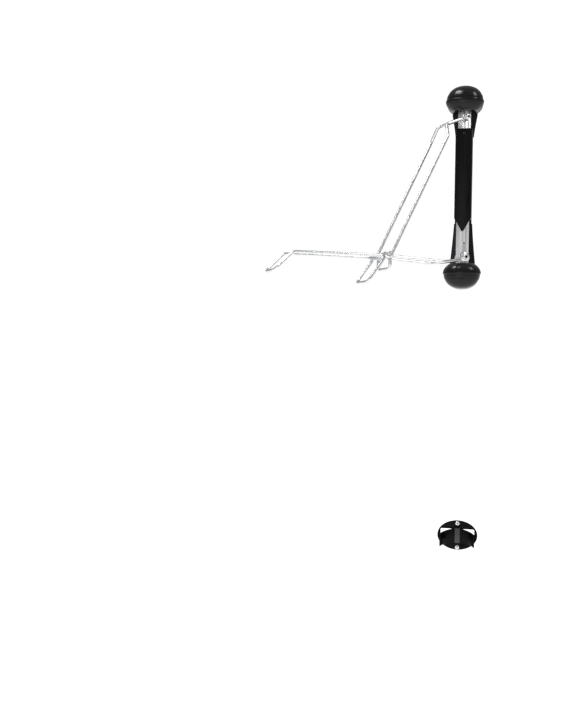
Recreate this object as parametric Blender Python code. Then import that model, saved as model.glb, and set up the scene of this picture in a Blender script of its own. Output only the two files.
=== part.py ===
"""Swivelling wall rack for a bicycle, with its separate rear tyre rest.

Frame: the wall is the plane Y = 0 and the room is on the -Y side, +Z is up and +X is to the
right as seen from the room. The origin is on the wall, behind the middle of the rack.
Arms are drawn in their own frame: x outward along the arms, y sideways, z up.
"""

import math

import bmesh
import bpy
from mathutils import Matrix, Vector

# ---------------------------------------------------------------- driving dimensions (metres)
GAP = 0.0003                      # between touching parts

AXIS_Y = -0.045                   # swivel axis, in front of the wall
ARM_HEADING = math.radians(210)   # direction of the arms at rest, about +Z from +X

LOWER_HINGE_Z = -0.220
UPPER_HINGE_Z = 0.219

DOME_EQUATOR = 0.271              # height of the widest ring, above and below the middle
DOME_RADIUS = 0.0595
DOME_DEPTH_RATIO = 0.78           # front depth of the dome over its half width
DOME_INNER_HALF = 0.0405          # ellipse half height towards the middle of the rack
DOME_MOUTH = 0.240                # flat face where the column enters the dome
CAP_SEAM = 0.289
CAP_RADIUS = 0.057
CAP_HALF = 0.0485
CAP_FULLNESS = 2.25               # power of the cap's outline: 2 is an ellipse, more is squarer
CAP_STEP = 0.0008                 # the cap is this much smaller than the dome at the seam
CAP_WALL = 0.003
WELL_RADIUS = 0.0235
WELL_FLOOR = 0.256
WEB_END = 0.271                   # the web that carries the pivot bush ends here
POCKET_RADIUS = 0.036

NECK_DEPTH = 0.009
TOP_NECK_END = 0.166
BOTTOM_NECK_END = 0.110
NECK_WAIST = 0.0290               # half widths of the neck
NECK_FOOT = 0.0395
NECK_CORNER = 0.003
NECK_FLARE_END = 0.235
NECK_END_IN_DOME = 0.250
TAB_HALF = 0.022                  # screw tab of each bracket, under its cap
TAB_DEPTH = 0.006
TAB_RANGE = (0.280, 0.3110)
WALL_SCREW_X = 0.013
WALL_SCREW_Z = 0.303

RAIL_HALF = 0.0265
RAIL_TONGUE_HALF = 0.020
RAIL_TONGUE_DEPTH = 0.004
TONGUE_TOP = 0.208                # the tongue reaches this far up and down inside the necks
TONGUE_FOOT = 0.150
RAIL_STEP = 0.0024
RAIL_STEP_Y = -0.0057

COVER_HALF = 0.0265
COVER_FRONT = -0.074
COVER_WALL = 0.0022
COVER_TOP = 0.181
COVER_SHOULDER = -0.097
COVER_TIP = -0.140
COVER_CORNER = 0.008
COVER_SCREW_Z = 0.165

COLUMN_U = 0.0165                 # half size along the arms
COLUMN_V = 0.0140                 # half size sideways
COLUMN_WALL = 0.0025
COLUMN_END = 0.250

ROD = 0.005                       # radius of every bent rod
EYE_SIDE = 0.0196                 # sideways place of the hinge eyes
EYE_HALF = 0.003
ARM_SIDE = 0.044                  # half spacing of the lower arm's rods
BRACE_SIDE = 0.056                # half spacing of the brace's rods
LOWER_EYE = 0.015
UPPER_EYE = 0.009

DOGLEG = (0.088, -0.020)          # x, z from the lower hinge
RAIL_Z = -0.009
INNER_HOOP_X = 0.268
INNER_HOOP_DROP = -0.048
MID_HOOP = (0.340, -0.090)
MID_HOOP_ROOT_X = 0.281
END_BEND_X = 0.578
END_HOOP = (0.636, -0.065)

PIN = (0.278, -0.002)             # hook pin, x and z from the lower hinge
PIN_RADIUS = 0.0045
PLATE_INNER = (0.2625, -0.0115)   # middles of the junction plate's two lower discs
PLATE_OUTER = (0.2985, -0.0115)
PLATE_RADIUS = 0.0065
PLATE_INSIDE = 0.0335             # sideways place of its inner face
HOOK_RADIUS = 0.0105              # middle line of the hook, round the pin
HOOK_FROM = math.radians(207.5)
HOOK_TO = math.radians(330)
BRACE_KNEE = (0.078, 0.029, -0.030)
BRACE_SHOULDER = (0.086, -0.072)  # x, z from the upper hinge
TIE_MIDDLE = (0.066, 0, -0.0255)
TIE_REACH = 0.0216                # the tie ends just short of the rods that it is welded to

REST_Z = -1.110                   # middle of the rear tyre rest
REST_HALF_WIDTH = 0.0638
REST_HALF_HEIGHT = 0.0473
REST_THICKNESS = 0.006
REST_SCREW_OFFSET = 0.038
WEB_HALF_WIDTH = 0.0085
WEB_HALF_HEIGHT = 0.0235
WEB_FRONT = -0.014
WING_ROOT = (0.004, -0.0115)      # x and y of the front of the wing where it leaves the web
WING_REACH = 0.0465               # from the root to the tip, sideways
WING_RISE = 0.036                 # and towards the room
WING_ANGLE = math.radians(78)     # share of a quarter turn that the wing bends through
WING_THICKNESS = 0.0045
WING_TIP_HALF_HEIGHT = 0.0202
WING_DROP = 0.010                 # the tips sit lower than the roots
WINDOW_X = (0.0165, 0.0535)       # openings through the plate behind the wings
WINDOW_Z = (-0.0215, 0.0205)


# ---------------------------------------------------------------- scene and materials
def clear_scene():
    for item in list(bpy.data.objects):
        bpy.data.objects.remove(item, do_unlink=True)


def make_material(name, color, roughness, metallic):
    material = bpy.data.materials.new(name)
    material.use_nodes = True
    shader = material.node_tree.nodes["Principled BSDF"]
    shader.inputs["Base Color"].default_value = (*color, 1.0)
    shader.inputs["Roughness"].default_value = roughness
    shader.inputs["Metallic"].default_value = metallic
    return material


def make_empty(name, location, heading=0.0, parent=None):
    empty = bpy.data.objects.new(name, None)
    bpy.context.scene.collection.objects.link(empty)
    empty.location = location
    empty.rotation_euler = (0, 0, heading)
    empty.parent = parent
    return empty


# ---------------------------------------------------------------- mesh tools
def finish_mesh(name, bm, sharp_angle=40):
    bmesh.ops.remove_doubles(bm, verts=bm.verts, dist=0.000001)
    bmesh.ops.recalc_face_normals(bm, faces=bm.faces)
    mesh = bpy.data.meshes.new(name)
    bm.to_mesh(mesh)
    bm.free()
    mesh.shade_smooth()
    mesh.set_sharp_from_angle(angle=math.radians(sharp_angle))
    return mesh


def add_part(name, bm, material, parent=None):
    mesh = finish_mesh(name, bm)
    mesh.materials.append(material)
    part = bpy.data.objects.new(name, mesh)
    bpy.context.scene.collection.objects.link(part)
    part.parent = parent
    return part


def add_cutter(name, bm, parent=None):
    mesh = finish_mesh(name, bm)
    cutter = bpy.data.objects.new(name, mesh)
    bpy.context.scene.collection.objects.link(cutter)
    cutter.parent = parent
    cutter.hide_render = True
    cutter.display_type = "WIRE"
    return cutter


def combine(part, tool, operation):
    modifier = part.modifiers.new(tool.name, "BOOLEAN")
    modifier.operation = operation
    modifier.solver = "EXACT"
    modifier.object = tool


def skin_rings(bm, rings, closed=False):
    """Join rings of points with quads, and cap both ends unless the strip closes on itself."""
    rows = [[bm.verts.new(point) for point in ring] for ring in rings]
    count = len(rows[0])
    steps = len(rows) if closed else len(rows) - 1
    for row in range(steps):
        low = rows[row]
        high = rows[(row + 1) % len(rows)]
        for k in range(count):
            j = (k + 1) % count
            bm.faces.new((low[k], low[j], high[j], high[k]))
    if not closed:
        bm.faces.new(list(reversed(rows[0])))
        bm.faces.new(rows[-1])


def add_box(bm, low, high):
    outline = ((low[0], low[1]), (high[0], low[1]), (high[0], high[1]), (low[0], high[1]))
    skin_rings(bm, [[(x, y, z) for x, y in outline] for z in (low[2], high[2])])


def turned(bm, profile, origin, axis, sides=20, hollow=False):
    """Solid of revolution from (distance along axis, radius) pairs.

    A hollow one is a closed outline that stays off the axis, as for a washer or bush.
    """
    axis = Vector(axis).normalized()
    side = axis.orthogonal().normalized()
    across = axis.cross(side)
    rings = []
    for distance, radius in profile:
        centre = Vector(origin) + axis * distance
        ring = []
        for k in range(sides):
            turn = 2 * math.pi * k / sides
            ring.append(centre + radius * (side * math.cos(turn) + across * math.sin(turn)))
        rings.append(ring)
    skin_rings(bm, rings, closed=hollow)


def ring_solid(bm, inner, outer, start, end, origin, axis, sides=20):
    """A washer: a tube with square ends."""
    profile = ((start, outer), (end, outer), (end, inner), (start, inner))
    turned(bm, profile, origin, axis, sides, hollow=True)


def rounded_outline(half_x, low_y, high_y, corner, steps=4):
    """Rectangle from low_y to high_y with rounded corners, as (x, y) points."""
    centres = ((half_x - corner, high_y - corner, 0), (corner - half_x, high_y - corner, 90),
               (corner - half_x, low_y + corner, 180), (half_x - corner, low_y + corner, 270))
    points = []
    for x, y, start in centres:
        for step in range(steps + 1):
            turn = math.radians(start + 90 * step / steps)
            points.append((x + corner * math.cos(turn), y + corner * math.sin(turn)))
    return points


def smooth_path(points, bend_radius, steps=5):
    """Straight runs joined by arcs of the given radius at every inner point."""
    points = [Vector(point) for point in points]
    path = [points[0]]
    for k in range(1, len(points) - 1):
        before = (points[k - 1] - points[k]).normalized()
        after = (points[k + 1] - points[k]).normalized()
        half = before.angle(after) / 2
        radius = bend_radius[k - 1] if isinstance(bend_radius, (list, tuple)) else bend_radius
        reach = radius / math.tan(half)
        centre = points[k] + (before + after).normalized() * radius / math.sin(half)
        start = points[k] + before * reach - centre
        end = points[k] + after * reach - centre
        sweep = start.angle(end)
        for step in range(steps + 1):
            t = step / steps
            blend = (start * math.sin((1 - t) * sweep) + end * math.sin(t * sweep)) / math.sin(sweep)
            path.append(centre + blend)
    path.append(points[-1])
    return path


def sweep_rod(bm, path, radius=ROD, sides=12):
    """Round rod along a path, with a frame carried along so that it doesn't twist."""
    rings = []
    side = None
    for k, point in enumerate(path):
        behind = (point - path[k - 1]).normalized() if k > 0 else (path[1] - point).normalized()
        ahead = (path[k + 1] - point).normalized() if k < len(path) - 1 else behind
        tangent = (behind + ahead).normalized()
        if side is None:
            side = tangent.orthogonal().normalized()
        side = (side - tangent * side.dot(tangent)).normalized()
        across = tangent.cross(side)
        stretch = 1 / max(0.5, tangent.dot(ahead))
        bend = (ahead - behind)
        ring = []
        for j in range(sides):
            turn = 2 * math.pi * j / sides
            offset = radius * (side * math.cos(turn) + across * math.sin(turn))
            if bend.length > 0.001:
                direction = bend.normalized()
                offset += direction * offset.dot(direction) * (stretch - 1)
            ring.append(point + offset)
        rings.append(ring)
    skin_rings(bm, rings)


# ---------------------------------------------------------------- wall side: brackets and caps
def dome_half_width(height):
    """Half width of the dome at a height counted from the middle of the rack."""
    if height <= DOME_EQUATOR:
        rise = (DOME_EQUATOR - height) / DOME_INNER_HALF
        return DOME_RADIUS * math.sqrt(max(0.0, 1 - rise * rise))
    rise = (height - DOME_EQUATOR) / CAP_HALF
    return CAP_RADIUS * max(0.0, 1 - rise ** CAP_FULLNESS) ** (1 / CAP_FULLNESS)


def dome_section(half_width, height, back=0.0, sides=28):
    """Half ellipse towards the room and straight sides back to the wall."""
    depth = half_width * DOME_DEPTH_RATIO
    points = []
    for k in range(sides + 1):
        turn = math.pi * k / sides
        points.append(Vector((-half_width * math.cos(turn), AXIS_Y - depth * math.sin(turn), height)))
    points.append(Vector((half_width * 0.95, back, height)))
    points.append(Vector((-half_width * 0.95, back, height)))
    return points


def plate_section(half, depth, corner, steps=3):
    """Plate against the wall with a square back and rounded front edges, as (x, y) points."""
    points = [(half, 0.0)]
    for side, start in ((1, 0), (-1, -90)):
        for step in range(steps + 1):
            turn = math.radians(start - 90 * step / steps)
            points.append((side * (half - corner) + corner * math.cos(turn),
                           corner - depth + corner * math.sin(turn)))
    points.append((-half, 0.0))
    return points


def neck_half_width(height, start, waist):
    """The neck flares from its waist at start to its foot just before the dome."""
    t = min(1.0, max(0.0, (height - start) / (NECK_FLARE_END - start)))
    return waist + (NECK_FOOT - waist) * t ** 1.25


def add_bracket(name, sign, neck_end, waist, material):
    """Dome collar, neck plate and screw tab of one end. sign is +1 at the top, -1 at the bottom."""
    def flip(points):
        return [Vector((p.x, p.y, p.z * sign)) for p in points]

    collar = bmesh.new()
    heights = [DOME_MOUTH, 0.246, 0.252, 0.258, 0.264, 0.2695, DOME_EQUATOR + 0.0008]
    rings = [flip(dome_section(dome_half_width(h), h)) for h in heights[:-1]]
    rings.append(flip(dome_section(DOME_RADIUS, heights[-1])))
    for h in (0.2745, 0.279, 0.284, CAP_SEAM):
        rings.append(flip(dome_section(dome_half_width(h), h)))
    skin_rings(collar, rings)
    bracket = add_part(name, collar, material)

    neck = bmesh.new()
    rings = []
    for k in range(9):
        height = neck_end + (NECK_END_IN_DOME - neck_end) * k / 8
        outline = plate_section(neck_half_width(height, neck_end, waist), NECK_DEPTH, NECK_CORNER)
        rings.append([Vector((x, y, height * sign)) for x, y in outline])
    skin_rings(neck, rings)
    combine(bracket, add_cutter(name + "_neck", neck), "UNION")

    tab = bmesh.new()
    low, high = sorted((TAB_RANGE[0] * sign, TAB_RANGE[1] * sign))
    add_box(tab, (-TAB_HALF, -TAB_DEPTH, low), (TAB_HALF, 0, high))
    combine(bracket, add_cutter(name + "_tab", tab), "UNION")
    return bracket


def cut_bracket(bracket, sign, neck_end, rail_end):
    """Column well, bush bore, cap-side pocket, rail recess and screw holes."""
    well = bmesh.new()
    turned(well, ((0.230, WELL_RADIUS), (WELL_FLOOR, WELL_RADIUS)), (0, AXIS_Y, 0), (0, 0, sign), 32)
    combine(bracket, add_cutter(bracket.name + "_well", well), "DIFFERENCE")

    bore = bmesh.new()
    turned(bore, ((0.250, 0.0093), (0.280, 0.0093)), (0, AXIS_Y, 0), (0, 0, sign), 24)
    combine(bracket, add_cutter(bracket.name + "_bore", bore), "DIFFERENCE")

    pocket = bmesh.new()
    turned(pocket, ((WEB_END, POCKET_RADIUS), (0.295, POCKET_RADIUS)), (0, AXIS_Y, 0), (0, 0, sign), 32)
    combine(bracket, add_cutter(bracket.name + "_pocket", pocket), "DIFFERENCE")

    recess = bmesh.new()
    half = RAIL_TONGUE_HALF + GAP
    low, high = sorted(((neck_end - 0.01) * sign, (rail_end + GAP) * sign))
    add_box(recess, (-half, -RAIL_TONGUE_DEPTH - GAP, low), (half, 0.002, high))
    combine(bracket, add_cutter(bracket.name + "_recess", recess), "DIFFERENCE")

    holes = bmesh.new()
    for x in (-WALL_SCREW_X, WALL_SCREW_X):
        foot = (x, 0.004, WALL_SCREW_Z * sign)
        turned(holes, ((-0.005, 0.0033), (0.020, 0.0033)), foot, (0, -1, 0), 16)
    combine(bracket, add_cutter(bracket.name + "_wall_holes", holes), "DIFFERENCE")

    joints = bmesh.new()
    for height in rail_screw_heights(sign):
        profile = ((-0.002, 0.0022), (0.0062, 0.0022), (0.0062, 0.0046), (0.012, 0.0046))
        turned(joints, profile, (0, 0, height), (0, -1, 0), 14)
    combine(bracket, add_cutter(bracket.name + "_joint_holes", joints), "DIFFERENCE")


def rail_screw_heights(sign):
    return (0.180, 0.200) if sign > 0 else (-0.122, -0.142)


def add_cap(name, sign, material):
    """Hollow end cap that closes the dome and hides the wall screws."""
    start = CAP_SEAM + GAP
    outer = []
    inner = []
    top = DOME_EQUATOR + CAP_HALF
    levels = [0.0, 0.22, 0.42, 0.6, 0.76, 0.88, 0.96, 0.995]
    for level in levels:
        height = start + (top - start) * level
        half = dome_half_width(height) - CAP_STEP
        outer.append([Vector((p.x, p.y, height * sign)) for p in dome_section(half, height, back=-GAP)])
    for level in reversed(levels[:-2]):
        height = start + (top - CAP_WALL - start) * level
        half = dome_half_width(height + CAP_WALL) - CAP_STEP - CAP_WALL
        ring = dome_section(half, height, back=-GAP - CAP_WALL)
        inner.append([Vector((p.x, p.y, height * sign)) for p in ring])
    shell = bmesh.new()
    skin_rings(shell, inner + outer)
    cap = add_part(name, shell, material)

    notch = bmesh.new()
    low, high = sorted(((CAP_SEAM - 0.004) * sign, (TAB_RANGE[1] + 2 * GAP) * sign))
    half = TAB_HALF + 2 * GAP
    add_box(notch, (-half, -TAB_DEPTH - GAP, low), (half, 0.002, high))
    combine(cap, add_cutter(name + "_notch", notch), "DIFFERENCE")
    return cap


def add_back_rail(material):
    bm = bmesh.new()
    low, high = -BOTTOM_NECK_END + GAP, TOP_NECK_END - GAP
    outline = [(-RAIL_HALF, 0), (-RAIL_HALF, RAIL_STEP_Y), (-RAIL_HALF + RAIL_STEP, RAIL_STEP_Y),
               (-RAIL_HALF + RAIL_STEP, -NECK_DEPTH), (RAIL_HALF - RAIL_STEP, -NECK_DEPTH),
               (RAIL_HALF - RAIL_STEP, RAIL_STEP_Y), (RAIL_HALF, RAIL_STEP_Y), (RAIL_HALF, 0)]
    skin_rings(bm, [[(x, y, z) for x, y in outline] for z in (low, high)])
    rail = add_part("back_rail", bm, material)
    tongue = bmesh.new()
    low_corner = (-RAIL_TONGUE_HALF, -RAIL_TONGUE_DEPTH, -TONGUE_FOOT)
    add_box(tongue, low_corner, (RAIL_TONGUE_HALF, 0, TONGUE_TOP))
    combine(rail, add_cutter("back_rail_tongue", tongue), "UNION")
    holes = bmesh.new()
    for sign in (-1, 1):
        for height in rail_screw_heights(sign):
            turned(holes, ((-0.002, 0.0022), (0.012, 0.0022)), (0, 0, height), (0, -1, 0), 14)
    combine(rail, add_cutter("back_rail_holes", holes), "DIFFERENCE")
    return rail


def add_guide_collar(material):
    """Block across the top of the cover. The column turns in it and the cover is screwed to it."""
    half = COVER_HALF - COVER_WALL - GAP
    front = COVER_FRONT + COVER_WALL + GAP
    bm = bmesh.new()
    outline = rounded_outline(half, front, -NECK_DEPTH - GAP, COVER_CORNER - COVER_WALL, steps=3)
    skin_rings(bm, [[(x, y, z) for x, y in outline] for z in (0.157, 0.173)])
    collar = add_part("guide_collar", bm, material)
    hole = bmesh.new()
    turned(hole, ((0.150, 0.0213), (0.180, 0.0213)), (0, AXIS_Y, 0), (0, 0, 1), 32)
    combine(collar, add_cutter("guide_collar_hole", hole), "DIFFERENCE")
    pilot = bmesh.new()
    turned(pilot, ((-0.001, 0.0016), (0.0045, 0.0016)), (0, front, COVER_SCREW_Z), (0, 1, 0), 12)
    combine(collar, add_cutter("guide_collar_pilot", pilot), "DIFFERENCE")
    return collar


def add_cover(material):
    """Channel-shaped front cover, straight at the top and cut to a point at the lower end."""
    outer = rounded_outline(COVER_HALF, COVER_FRONT, 0.02, COVER_CORNER)
    inner = rounded_outline(COVER_HALF - COVER_WALL, COVER_FRONT + COVER_WALL, 0.03,
                            COVER_CORNER - COVER_WALL)
    bm = bmesh.new()
    skin_rings(bm, [[(x, y, z) for x, y in outer] for z in (COVER_TIP, COVER_TOP)])
    cover = add_part("front_cover", bm, material)

    hollow = bmesh.new()
    skin_rings(hollow, [[(x, y, z) for x, y in inner] for z in (COVER_TIP - 0.02, COVER_TOP + 0.02)])
    combine(cover, add_cutter("front_cover_hollow", hollow), "DIFFERENCE")

    back = bmesh.new()
    add_box(back, (-0.04, -0.006, COVER_TIP - 0.02), (0.04, 0.04, COVER_TOP + 0.02))
    combine(cover, add_cutter("front_cover_back", back), "DIFFERENCE")

    clear = bmesh.new()
    add_box(clear, (-0.04, -NECK_DEPTH - GAP, TOP_NECK_END - GAP), (0.04, 0.04, COVER_TOP + 0.02))
    add_box(clear, (-0.04, -NECK_DEPTH - GAP, COVER_TIP - 0.02), (0.04, 0.04, -BOTTOM_NECK_END + GAP))
    combine(cover, add_cutter("front_cover_neck_clear", clear), "DIFFERENCE")

    point = bmesh.new()
    for sign in (-1, 1):
        wedge = [(0.0, COVER_TIP), (sign * COVER_HALF, COVER_SHOULDER), (sign * 0.05, COVER_SHOULDER),
                 (sign * 0.05, COVER_TIP - 0.03), (0.0, COVER_TIP - 0.03)]
        skin_rings(point, [[(x, y, z) for x, z in wedge] for y in (-0.09, 0.03)])
    combine(cover, add_cutter("front_cover_point", point), "DIFFERENCE")

    hole = bmesh.new()
    turned(hole, ((-0.004, 0.0021), (0.006, 0.0021)), (0, COVER_FRONT, COVER_SCREW_Z), (0, 1, 0), 14)
    combine(cover, add_cutter("front_cover_hole", hole), "DIFFERENCE")
    return cover


def add_wall_hardware(plastic, steel, black_steel):
    """Pivot bushes, and the screws of the brackets, the rail and the cover."""
    for name, sign in (("top_pivot_bush", 1), ("bottom_pivot_bush", -1)):
        bm = bmesh.new()
        base = (0, AXIS_Y, 0)
        axis = (0, 0, sign)
        profile = ((WELL_FLOOR - 0.002, 0.0063), (WELL_FLOOR - 0.002, 0.012),
                   (WELL_FLOOR - GAP, 0.012), (WELL_FLOOR - GAP, 0.009),
                   (WEB_END, 0.009), (WEB_END, 0.0063))
        turned(bm, profile, base, axis, 24, hollow=True)
        add_part(name, bm, plastic)

    for row, sign in (("top", 1), ("bottom", -1)):
        for word, x in (("left", -WALL_SCREW_X), ("right", WALL_SCREW_X)):
            foot = (x, 0, WALL_SCREW_Z * sign)
            screw = bmesh.new()
            profile = ((GAP, 0.003), (0.0078, 0.003), (0.0078, 0.0062), (0.0105, 0.0062), (0.012, 0.0042))
            turned(screw, profile, foot, (0, -1, 0), 16)
            add_part(f"{row}_wall_screw_{word}", screw, steel)
            washer = bmesh.new()
            ring_solid(washer, 0.0034, 0.0075, 0.0063, 0.0075, foot, (0, -1, 0), 16)
            add_part(f"{row}_wall_washer_{word}", washer, steel)
        for number, height in enumerate(rail_screw_heights(sign), 1):
            screw = bmesh.new()
            profile = ((GAP, 0.0019), (0.0065, 0.0019), (0.0065, 0.0042), (0.0088, 0.0042))
            turned(screw, profile, (0, 0, height), (0, -1, 0), 14)
            add_part(f"{row}_rail_screw_{number}", screw, steel)

    screw = bmesh.new()
    profile = ((-0.0036, 0.0013), (GAP, 0.0013), (GAP, 0.0034), (0.0010, 0.0034), (0.0018, 0.0022))
    turned(screw, profile, (0, COVER_FRONT, COVER_SCREW_Z), (0, -1, 0), 14)
    add_part("cover_screw", screw, black_steel)


# ---------------------------------------------------------------- rear tyre rest
def wing_ring(share, side):
    """Four corners of the wing's section at a share of its length, from root to tip."""
    angle = WING_ANGLE * share
    x = WING_ROOT[0] + WING_REACH * math.sin(angle) / math.sin(WING_ANGLE)
    y = WING_ROOT[1] - WING_RISE * (1 - math.cos(angle)) / (1 - math.cos(WING_ANGLE))
    tangent = Vector((WING_REACH * math.cos(angle), -1.2 * WING_RISE * math.sin(angle), 0)).normalized()
    front = Vector((x, y, 0))
    back = front + Vector((-tangent.y, tangent.x, 0)) * WING_THICKNESS
    tall = WEB_HALF_HEIGHT + (WING_TIP_HALF_HEIGHT - WEB_HALF_HEIGHT) * share
    middle = REST_Z - WING_DROP * share
    corners = ((front, -tall), (back, -tall), (back, tall), (front, tall))
    return [Vector((point.x * side, point.y, middle + rise)) for point, rise in corners]


def add_tyre_rest(material, steel):
    """Oval plate with a window behind each wing, an upright web and two curved wings."""
    base = bmesh.new()
    rings = []
    for y, shrink in ((0.0, 0.0), (-0.004, 0.0), (-REST_THICKNESS, 0.0025)):
        rings.append([Vector(((REST_HALF_WIDTH - shrink) * math.cos(2 * math.pi * k / 40), y,
                              REST_Z + (REST_HALF_HEIGHT - shrink) * math.sin(2 * math.pi * k / 40)))
                      for k in range(40)])
    skin_rings(base, rings)
    rest = add_part("tyre_rest", base, material)

    windows = bmesh.new()
    for side in (-1, 1):
        low, high = sorted((side * WINDOW_X[0], side * WINDOW_X[1]))
        add_box(windows, (low, -0.02, REST_Z + WINDOW_Z[0]), (high, 0.01, REST_Z + WINDOW_Z[1]))
    combine(rest, add_cutter("tyre_rest_windows", windows), "DIFFERENCE")

    web = bmesh.new()
    outline = rounded_outline(WEB_HALF_WIDTH, WEB_FRONT, -0.002, 0.002, steps=2)
    heights = (REST_Z - WEB_HALF_HEIGHT, REST_Z + WEB_HALF_HEIGHT)
    skin_rings(web, [[(x, y, z) for x, y in outline] for z in heights])
    combine(rest, add_cutter("tyre_rest_web", web), "UNION")

    for side, word in ((-1, "left"), (1, "right")):
        wing = bmesh.new()
        skin_rings(wing, [wing_ring(k / 8, side) for k in range(9)])
        combine(rest, add_cutter("tyre_rest_wing_" + word, wing), "UNION")

    holes = bmesh.new()
    for word, offset in (("lower", -REST_SCREW_OFFSET), ("upper", REST_SCREW_OFFSET)):
        foot = (0, 0, REST_Z + offset)
        turned(holes, ((-0.003, 0.0030), (0.02, 0.0030)), foot, (0, -1, 0), 16)
        screw = bmesh.new()
        profile = ((GAP, 0.0026), (0.0063, 0.0026), (0.0063, 0.0065), (0.0085, 0.0065), (0.0105, 0.0042))
        turned(screw, profile, foot, (0, -1, 0), 18)
        add_part("tyre_rest_screw_" + word, screw, steel)
    combine(rest, add_cutter("tyre_rest_holes", holes), "DIFFERENCE")


# ---------------------------------------------------------------- swivelling column
def add_column(swivel, aluminium, plastic, steel, dark):
    """Extruded tube with grooves, its end plugs, pivot pins, washers and hinge bolts."""
    outer = rounded_outline(COLUMN_U, -COLUMN_V, COLUMN_V, 0.0035, steps=3)
    inner = rounded_outline(COLUMN_U - COLUMN_WALL, -COLUMN_V + COLUMN_WALL, COLUMN_V - COLUMN_WALL,
                            0.0015, steps=3)
    bm = bmesh.new()
    rings = [[(x, y, -COLUMN_END) for x, y in outer], [(x, y, COLUMN_END) for x, y in outer],
             [(x, y, COLUMN_END) for x, y in inner], [(x, y, -COLUMN_END) for x, y in inner]]
    skin_rings(bm, rings, closed=True)
    column = add_part("column_tube", bm, aluminium, swivel)

    grooves = bmesh.new()
    for side in (-1, 1):
        for x in (-0.0065, 0.0065):
            low, high = sorted((side * (COLUMN_V - 0.0009), side * (COLUMN_V + 0.002)))
            add_box(grooves, (x - 0.0009, low, -0.26), (x + 0.0009, high, 0.26))
    combine(column, add_cutter("column_tube_grooves", grooves, swivel), "DIFFERENCE")

    holes = bmesh.new()
    for height, radius in ((UPPER_HINGE_Z, 0.0044), (LOWER_HINGE_Z, 0.0054)):
        turned(holes, ((-0.03, radius), (0.03, radius)), (0, 0, height), (0, 1, 0), 16)
    turned(holes, ((0.005, 0.0025), (0.03, 0.0025)), (0.0015, 0, -0.176), (0, 1, 0), 12)
    combine(column, add_cutter("column_tube_holes", holes, swivel), "DIFFERENCE")

    for name, sign in (("top", 1), ("bottom", -1)):
        plug = bmesh.new()
        inside = rounded_outline(COLUMN_U - COLUMN_WALL - GAP, -COLUMN_V + COLUMN_WALL + GAP,
                                 COLUMN_V - COLUMN_WALL - GAP, 0.0012, steps=3)
        flange = rounded_outline(COLUMN_U, -COLUMN_V, COLUMN_V, 0.0035, steps=3)
        levels = ((0.234, inside), (COLUMN_END + GAP, inside), (COLUMN_END + GAP, flange), (0.2518, flange))
        skin_rings(plug, [[(x, y, z * sign) for x, y in outline] for z, outline in levels])
        plug_part = add_part(name + "_end_plug", plug, plastic, swivel)
        bore = bmesh.new()
        turned(bore, ((0.225, 0.0063), (0.260, 0.0063)), (0, 0, 0), (0, 0, sign), 20)
        combine(plug_part, add_cutter(name + "_end_plug_bore", bore, swivel), "DIFFERENCE")

        pin = bmesh.new()
        turned(pin, ((0.2345, 0.006), (0.2755, 0.006), (0.2765, 0.005)), (0, 0, 0), (0, 0, sign), 20)
        add_part(name + "_pivot_pin", pin, steel, swivel)
        clip = bmesh.new()
        ring_solid(clip, 0.0063, 0.0105, 0.2718, 0.2730, (0, 0, 0), (0, 0, sign), 20)
        add_part(name + "_pivot_clip", clip, steel, swivel)

    washer = bmesh.new()
    ring_solid(washer, 0.0063, 0.0120, 0.2521, 0.2536, (0, 0, 0), (0, 0, -1), 24)
    add_part("thrust_washer", washer, dark, swivel)

    spacer_end = EYE_SIDE - EYE_HALF - GAP
    for row, height, hole, rim in (("upper", UPPER_HINGE_Z, 0.0045, 0.0085),
                                   ("lower", LOWER_HINGE_Z, 0.0055, 0.013)):
        for word, side in (("near", 1), ("far", -1)):
            spacer = bmesh.new()
            ring_solid(spacer, hole, rim, COLUMN_V + GAP, spacer_end, (0, 0, height), (0, side, 0), 20)
            add_part(f"{row}_hinge_washer_{word}", spacer, dark, swivel)

    add_hinge_bolt("upper", UPPER_HINGE_Z, 0.0041, 0.0072, swivel, steel)
    add_hinge_bolt("lower", LOWER_HINGE_Z, 0.0051, 0.0088, swivel, steel)


def add_hinge_bolt(name, height, shank, head, swivel, steel):
    """Bolt with a socket head on the near side and a nut on the far side."""
    face = EYE_SIDE + EYE_HALF + GAP
    bolt = bmesh.new()
    socket = head * 0.42
    profile = ((-face - 0.0075, shank), (face, shank), (face, head), (face + 0.0035, head),
               (face + 0.0048, head * 0.8), (face + 0.0048, socket), (face + 0.0015, socket))
    turned(bolt, profile, (0, 0, height), (0, 1, 0), 20)
    add_part(name + "_hinge_bolt", bolt, steel, swivel)
    nut = bmesh.new()
    hexagon_ring(nut, shank + GAP, head, face, face + 0.0055, (0, 0, height), -1)
    add_part(name + "_hinge_nut", nut, steel, swivel)


def hexagon_ring(bm, inner, outer, start, end, origin, side):
    """Hexagonal nut: twelve points outside, so that they pair with the round bore inside."""
    count = 12
    flat = outer * math.cos(math.pi / 6)
    outside = [outer, flat] * (count // 2)
    bore = [inner] * count
    rings = []
    for distance, radii in ((start, outside), (end, outside), (end, bore), (start, bore)):
        ring = []
        for k, radius in enumerate(radii):
            turn = 2 * math.pi * k / count
            place = Vector((radius * math.cos(turn), side * distance, radius * math.sin(turn)))
            ring.append(Vector(origin) + place)
        rings.append(ring)
    skin_rings(bm, rings, closed=True)


# ---------------------------------------------------------------- lower arm
def flatten_eye(rod, word, side, radius, hinge):
    """Cut the rod's end down to the thickness of its eye, so that it fits between washer and bolt head."""
    reach = radius + 0.001
    trim = bmesh.new()
    for near, far in ((EYE_SIDE + EYE_HALF, 0.040), (0.008, EYE_SIDE - EYE_HALF)):
        low, high = sorted((side * near, side * far))
        add_box(trim, (-0.020, low, -0.020), (reach, high, 0.020))
    combine(rod, add_cutter(f"{rod.name}_flats_{word}", trim, hinge), "DIFFERENCE")


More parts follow.
